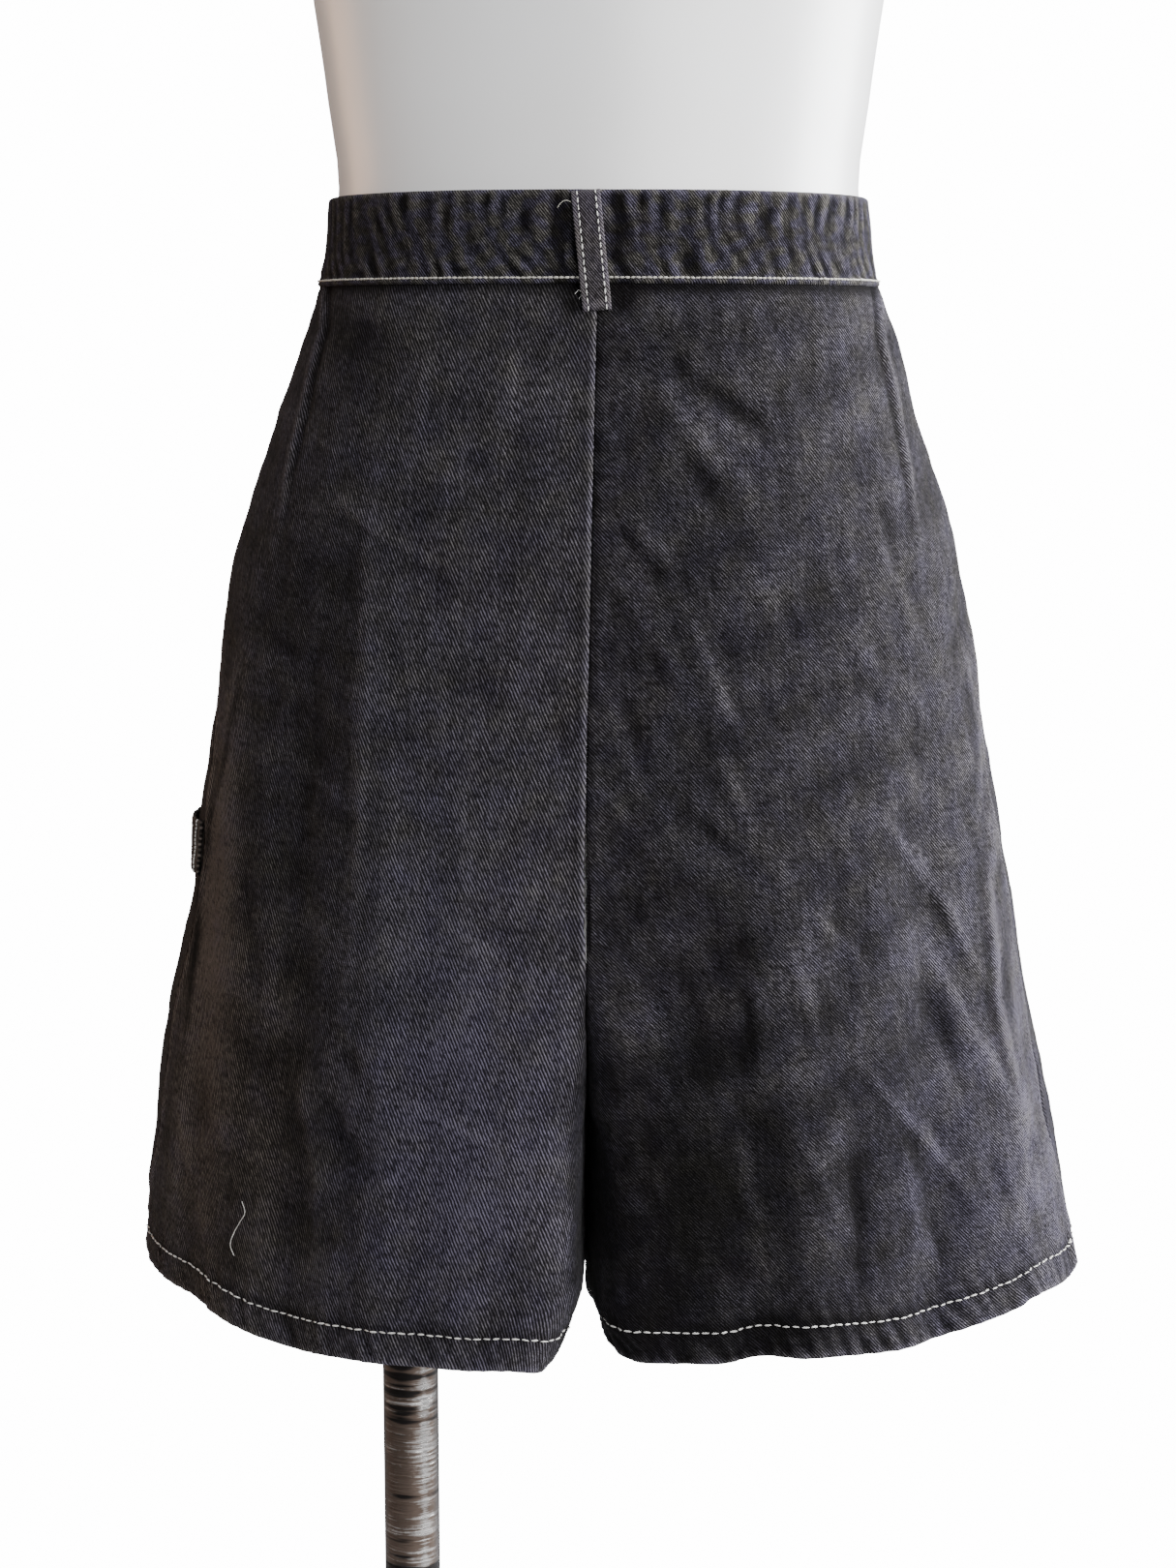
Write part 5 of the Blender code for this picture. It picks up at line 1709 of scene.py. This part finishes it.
class SKORT_OT_straps(bpy.types.Operator):
    """Belt loop and hammer loop with their stitches."""
    bl_idname = "skort.straps"
    bl_label = "Belt loop and hammer loop"

    def execute(self, context):
        sizes = context.scene.skort_sizes
        white = thread_finish("strap_thread")
        loop = belt_loop_cloth()
        rows = []
        for column in (6, 24):
            rows.append((loop.points[:, column], loop.normals[:, column], 0.0031, sizes.thread * 0.76, 0.76))
        place_cloth("belt_loop_cloth", loop, denim("loop_denim"), sizes.strap_wall, "belt_loop")
        hammer = hammer_loop_cloth()
        for row in (4, 21):
            line, out = hammer.points[row, 8:], hammer.normals[row, 8:]
            rows.append((line, out, sizes.stitch_pitch, sizes.thread * 0.9))
        for column in (4, 65):
            rows.append((hammer.points[:, column], hammer.normals[:, column], 0.0017, sizes.thread, 0.95))
        place_cloth("hammer_loop_cloth", hammer, denim("hammer_denim"), sizes.strap_wall, "hammer_loop")
        place_stitches("strap_stitches", rows, white)
        return {"FINISHED"}


class SKORT_OT_button(bpy.types.Operator):
    """Shank button on the waistband's overlap."""
    bl_idname = "skort.button"
    bl_label = "Button"

    def execute(self, context):
        low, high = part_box("button")
        centre = Vector(((low[0] + high[0]) / 2, low[1], (low[2] + high[2]) / 2))
        radius, height = (high[0] - low[0]) / 2, high[1] - low[1]
        profile = [(0.0, height * 0.78), (radius * 0.50, height * 0.74), (radius * 0.62, height * 0.90),
                   (radius * 0.80, height), (radius * 0.96, height * 0.72), (radius, height * 0.45),
                   (radius * 0.93, height * 0.14), (radius * 0.5, 0.0), (0.0, 0.0)]
        mesh = turned_mesh("button_dome", rounded(profile, 0.0006), (0, 0, 0), aged_metal(), 48)
        mesh.transform(Matrix.Translation(centre) @ Matrix.Rotation(-math.pi / 2, 4, "X"))
        place_object("button_dome", mesh, "button")
        return {"FINISHED"}


class SKORT_OT_form(bpy.types.Operator):
    """Glossy white dress form."""
    bl_idname = "skort.form"
    bl_label = "Dress form"

    def execute(self, context):
        place_object("form_body", form_mesh(gloss_white()), "dress_form")
        return {"FINISHED"}


class SKORT_OT_stand(bpy.types.Operator):
    """Chrome pole with its flange, socket and base plate."""
    bl_idname = "skort.stand"
    bl_label = "Stand"

    def execute(self, context):
        sizes = context.scene.skort_sizes
        chrome, tube = worn_chrome("stand_chrome"), worn_chrome("pole_chrome", True)
        for node, corner in (("base_plate", 0.0020), ("pole_flange", 0.0010), ("pole", 0.0006)):
            low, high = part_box(node)
            radius = (high[0] - low[0]) / 2
            profile = rounded([(0.0, high[2]), (radius, high[2]), (radius, low[2]), (0.0, low[2])], corner)
            centre = ((low[0] + high[0]) / 2, 0.0, 0.0)
            skin = tube if node == "pole" else chrome
            place_object(node + "_turned", turned_mesh(node + "_turned", profile, centre, skin, 96), node)
        low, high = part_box("pole_socket")
        inner, outer = sizes.pole_radius + 0.0003, (high[0] - low[0]) / 2
        profile = rounded([(inner, (low[2] + high[2]) / 2), (inner, high[2]), (outer, high[2]),
                           (outer, low[2]), (inner, low[2]), (inner, (low[2] + high[2]) / 2)], 0.0025)
        mesh = turned_mesh("pole_socket_turned", profile, (POLE_X, 0, 0), chrome)
        place_object("pole_socket_turned", mesh, "pole_socket")
        return {"FINISHED"}


class SKORT_OT_stage(bpy.types.Operator):
    """Camera, plain pale floor and soft studio lights."""
    bl_idname = "skort.stage"
    bl_label = "Stage"

    def execute(self, context):
        scene = context.scene
        sizes, lights = scene.skort_sizes, scene.skort_lights
        lens = bpy.data.cameras.new("studio_camera")
        lens.sensor_width = SENSOR
        lens.lens = sizes.lens
        camera = bpy.data.objects.new("studio_camera", lens)
        camera.location = (CAMERA_X, -sizes.camera_distance, sizes.camera_height)
        camera.rotation_euler = (math.pi / 2 - sizes.camera_tilt, 0.0, 0.0)
        scene.collection.objects.link(camera)
        scene.camera = camera
        self.add_floor(scene)
        self.add_room(scene)
        for name, place, height, size, colour in LIGHTS:
            self.add_light(name, place, (0.0, 0.0, height), getattr(lights, name), size, colour)
        return {"FINISHED"}

    def add_floor(self, scene):
        sheet = bmesh.new()
        bmesh.ops.create_circle(sheet, cap_ends=True, radius=14.0, segments=64)
        pale = Finish("floor_pale", roughness=0.9)
        colour = tuple(scene.skort_colours.floor)
        place = pale.add("ShaderNodeTexCoord", None, None, 3)
        away = pale.add("ShaderNodeVectorMath", {"operation": "LENGTH"}, {0: place}, 1)
        far = ((away - 0.20) / 0.60).clamped() ** 3.0
        shaded = tuple(value * 0.22 for value in colour)
        pale.feed(pale.surface.inputs["Base Color"], pale.blend(far, colour, shaded))
        seen = pale.add("ShaderNodeLightPath")
        glow = pale.add("ShaderNodeEmission", None, {"Strength": scene.skort_lights.backdrop})
        mixed = pale.add("ShaderNodeMixShader", None, {0: far * seen})
        mix = mixed.socket.node
        pale.tree.links.new(pale.surface.outputs[0], mix.inputs[1])
        pale.tree.links.new(glow.socket, mix.inputs[2])
        pale.tree.links.new(mixed.socket, pale.tree.nodes["Material Output"].inputs["Surface"])
        floor = bpy.data.objects.new("floor", finished_mesh("floor", sheet, pale.material))
        scene.collection.objects.link(floor)

    def add_room(self, scene):
        room = bpy.data.worlds.new("studio_room")
        scene.world = room
        room.use_nodes = True
        tree = room.node_tree
        even = tree.nodes["Background"]
        even.inputs["Color"].default_value = (0.93, 0.96, 1.0, 1.0)
        even.inputs["Strength"].default_value = scene.skort_lights.room
        seen = tree.nodes.new("ShaderNodeBackground")
        seen.inputs["Strength"].default_value = scene.skort_lights.backdrop
        seen.inputs["Color"].default_value = (1.0, 1.0, 1.0, 1.0)
        path = tree.nodes.new("ShaderNodeLightPath")
        mix = tree.nodes.new("ShaderNodeMixShader")
        tree.links.new(path.outputs["Is Camera Ray"], mix.inputs[0])
        tree.links.new(even.outputs[0], mix.inputs[1])
        tree.links.new(seen.outputs[0], mix.inputs[2])
        tree.links.new(mix.outputs[0], tree.nodes["World Output"].inputs["Surface"])

    def add_light(self, name, place, target, energy, size, colour):
        lamp = bpy.data.lights.new(name, "AREA")
        lamp.energy = energy
        lamp.shape = "RECTANGLE"
        lamp.size = size
        lamp.size_y = size
        lamp.color = colour
        light = bpy.data.objects.new(name, lamp)
        light.location = place
        light.rotation_euler = (Vector(target) - Vector(place)).to_track_quat("-Z", "Y").to_euler()
        bpy.context.scene.collection.objects.link(light)


class SKORT_PT_panel(bpy.types.Panel):
    """Lists the pieces in the order in which they are made."""
    bl_label = "Denim Skort"
    bl_idname = "SKORT_PT_panel"
    bl_space_type = "VIEW_3D"
    bl_region_type = "UI"
    bl_category = "Skort"

    def draw(self, context):
        for operator in OPERATORS:
            self.layout.operator(operator.bl_idname)
        for group in (context.scene.skort_sizes, context.scene.skort_colours, context.scene.skort_lights):
            box = self.layout.box()
            for label in group.bl_rna.properties.keys():
                if label not in ("rna_type", "name"):
                    box.prop(group, label)


OPERATORS = (SKORT_OT_back_legs, SKORT_OT_front_legs, SKORT_OT_skirt, SKORT_OT_waistband, SKORT_OT_straps,
             SKORT_OT_button, SKORT_OT_form, SKORT_OT_stand, SKORT_OT_stage)
CLASSES = (SkortSizes, SkortColours, SkortLights, *OPERATORS, SKORT_PT_panel)


def register():
    for cls in CLASSES:
        bpy.utils.register_class(cls)
    bpy.types.Scene.skort_sizes = PointerProperty(type=SkortSizes)
    bpy.types.Scene.skort_colours = PointerProperty(type=SkortColours)
    bpy.types.Scene.skort_lights = PointerProperty(type=SkortLights)


def unregister():
    del bpy.types.Scene.skort_lights
    del bpy.types.Scene.skort_colours
    del bpy.types.Scene.skort_sizes
    for cls in reversed(CLASSES):
        bpy.utils.unregister_class(cls)


def main():
    register()
    for step in (bpy.ops.skort.back_legs, bpy.ops.skort.front_legs, bpy.ops.skort.skirt,
                 bpy.ops.skort.waistband, bpy.ops.skort.straps, bpy.ops.skort.button, bpy.ops.skort.form,
                 bpy.ops.skort.stand, bpy.ops.skort.stage):
        step()


if __name__ == "__main__":
    main()
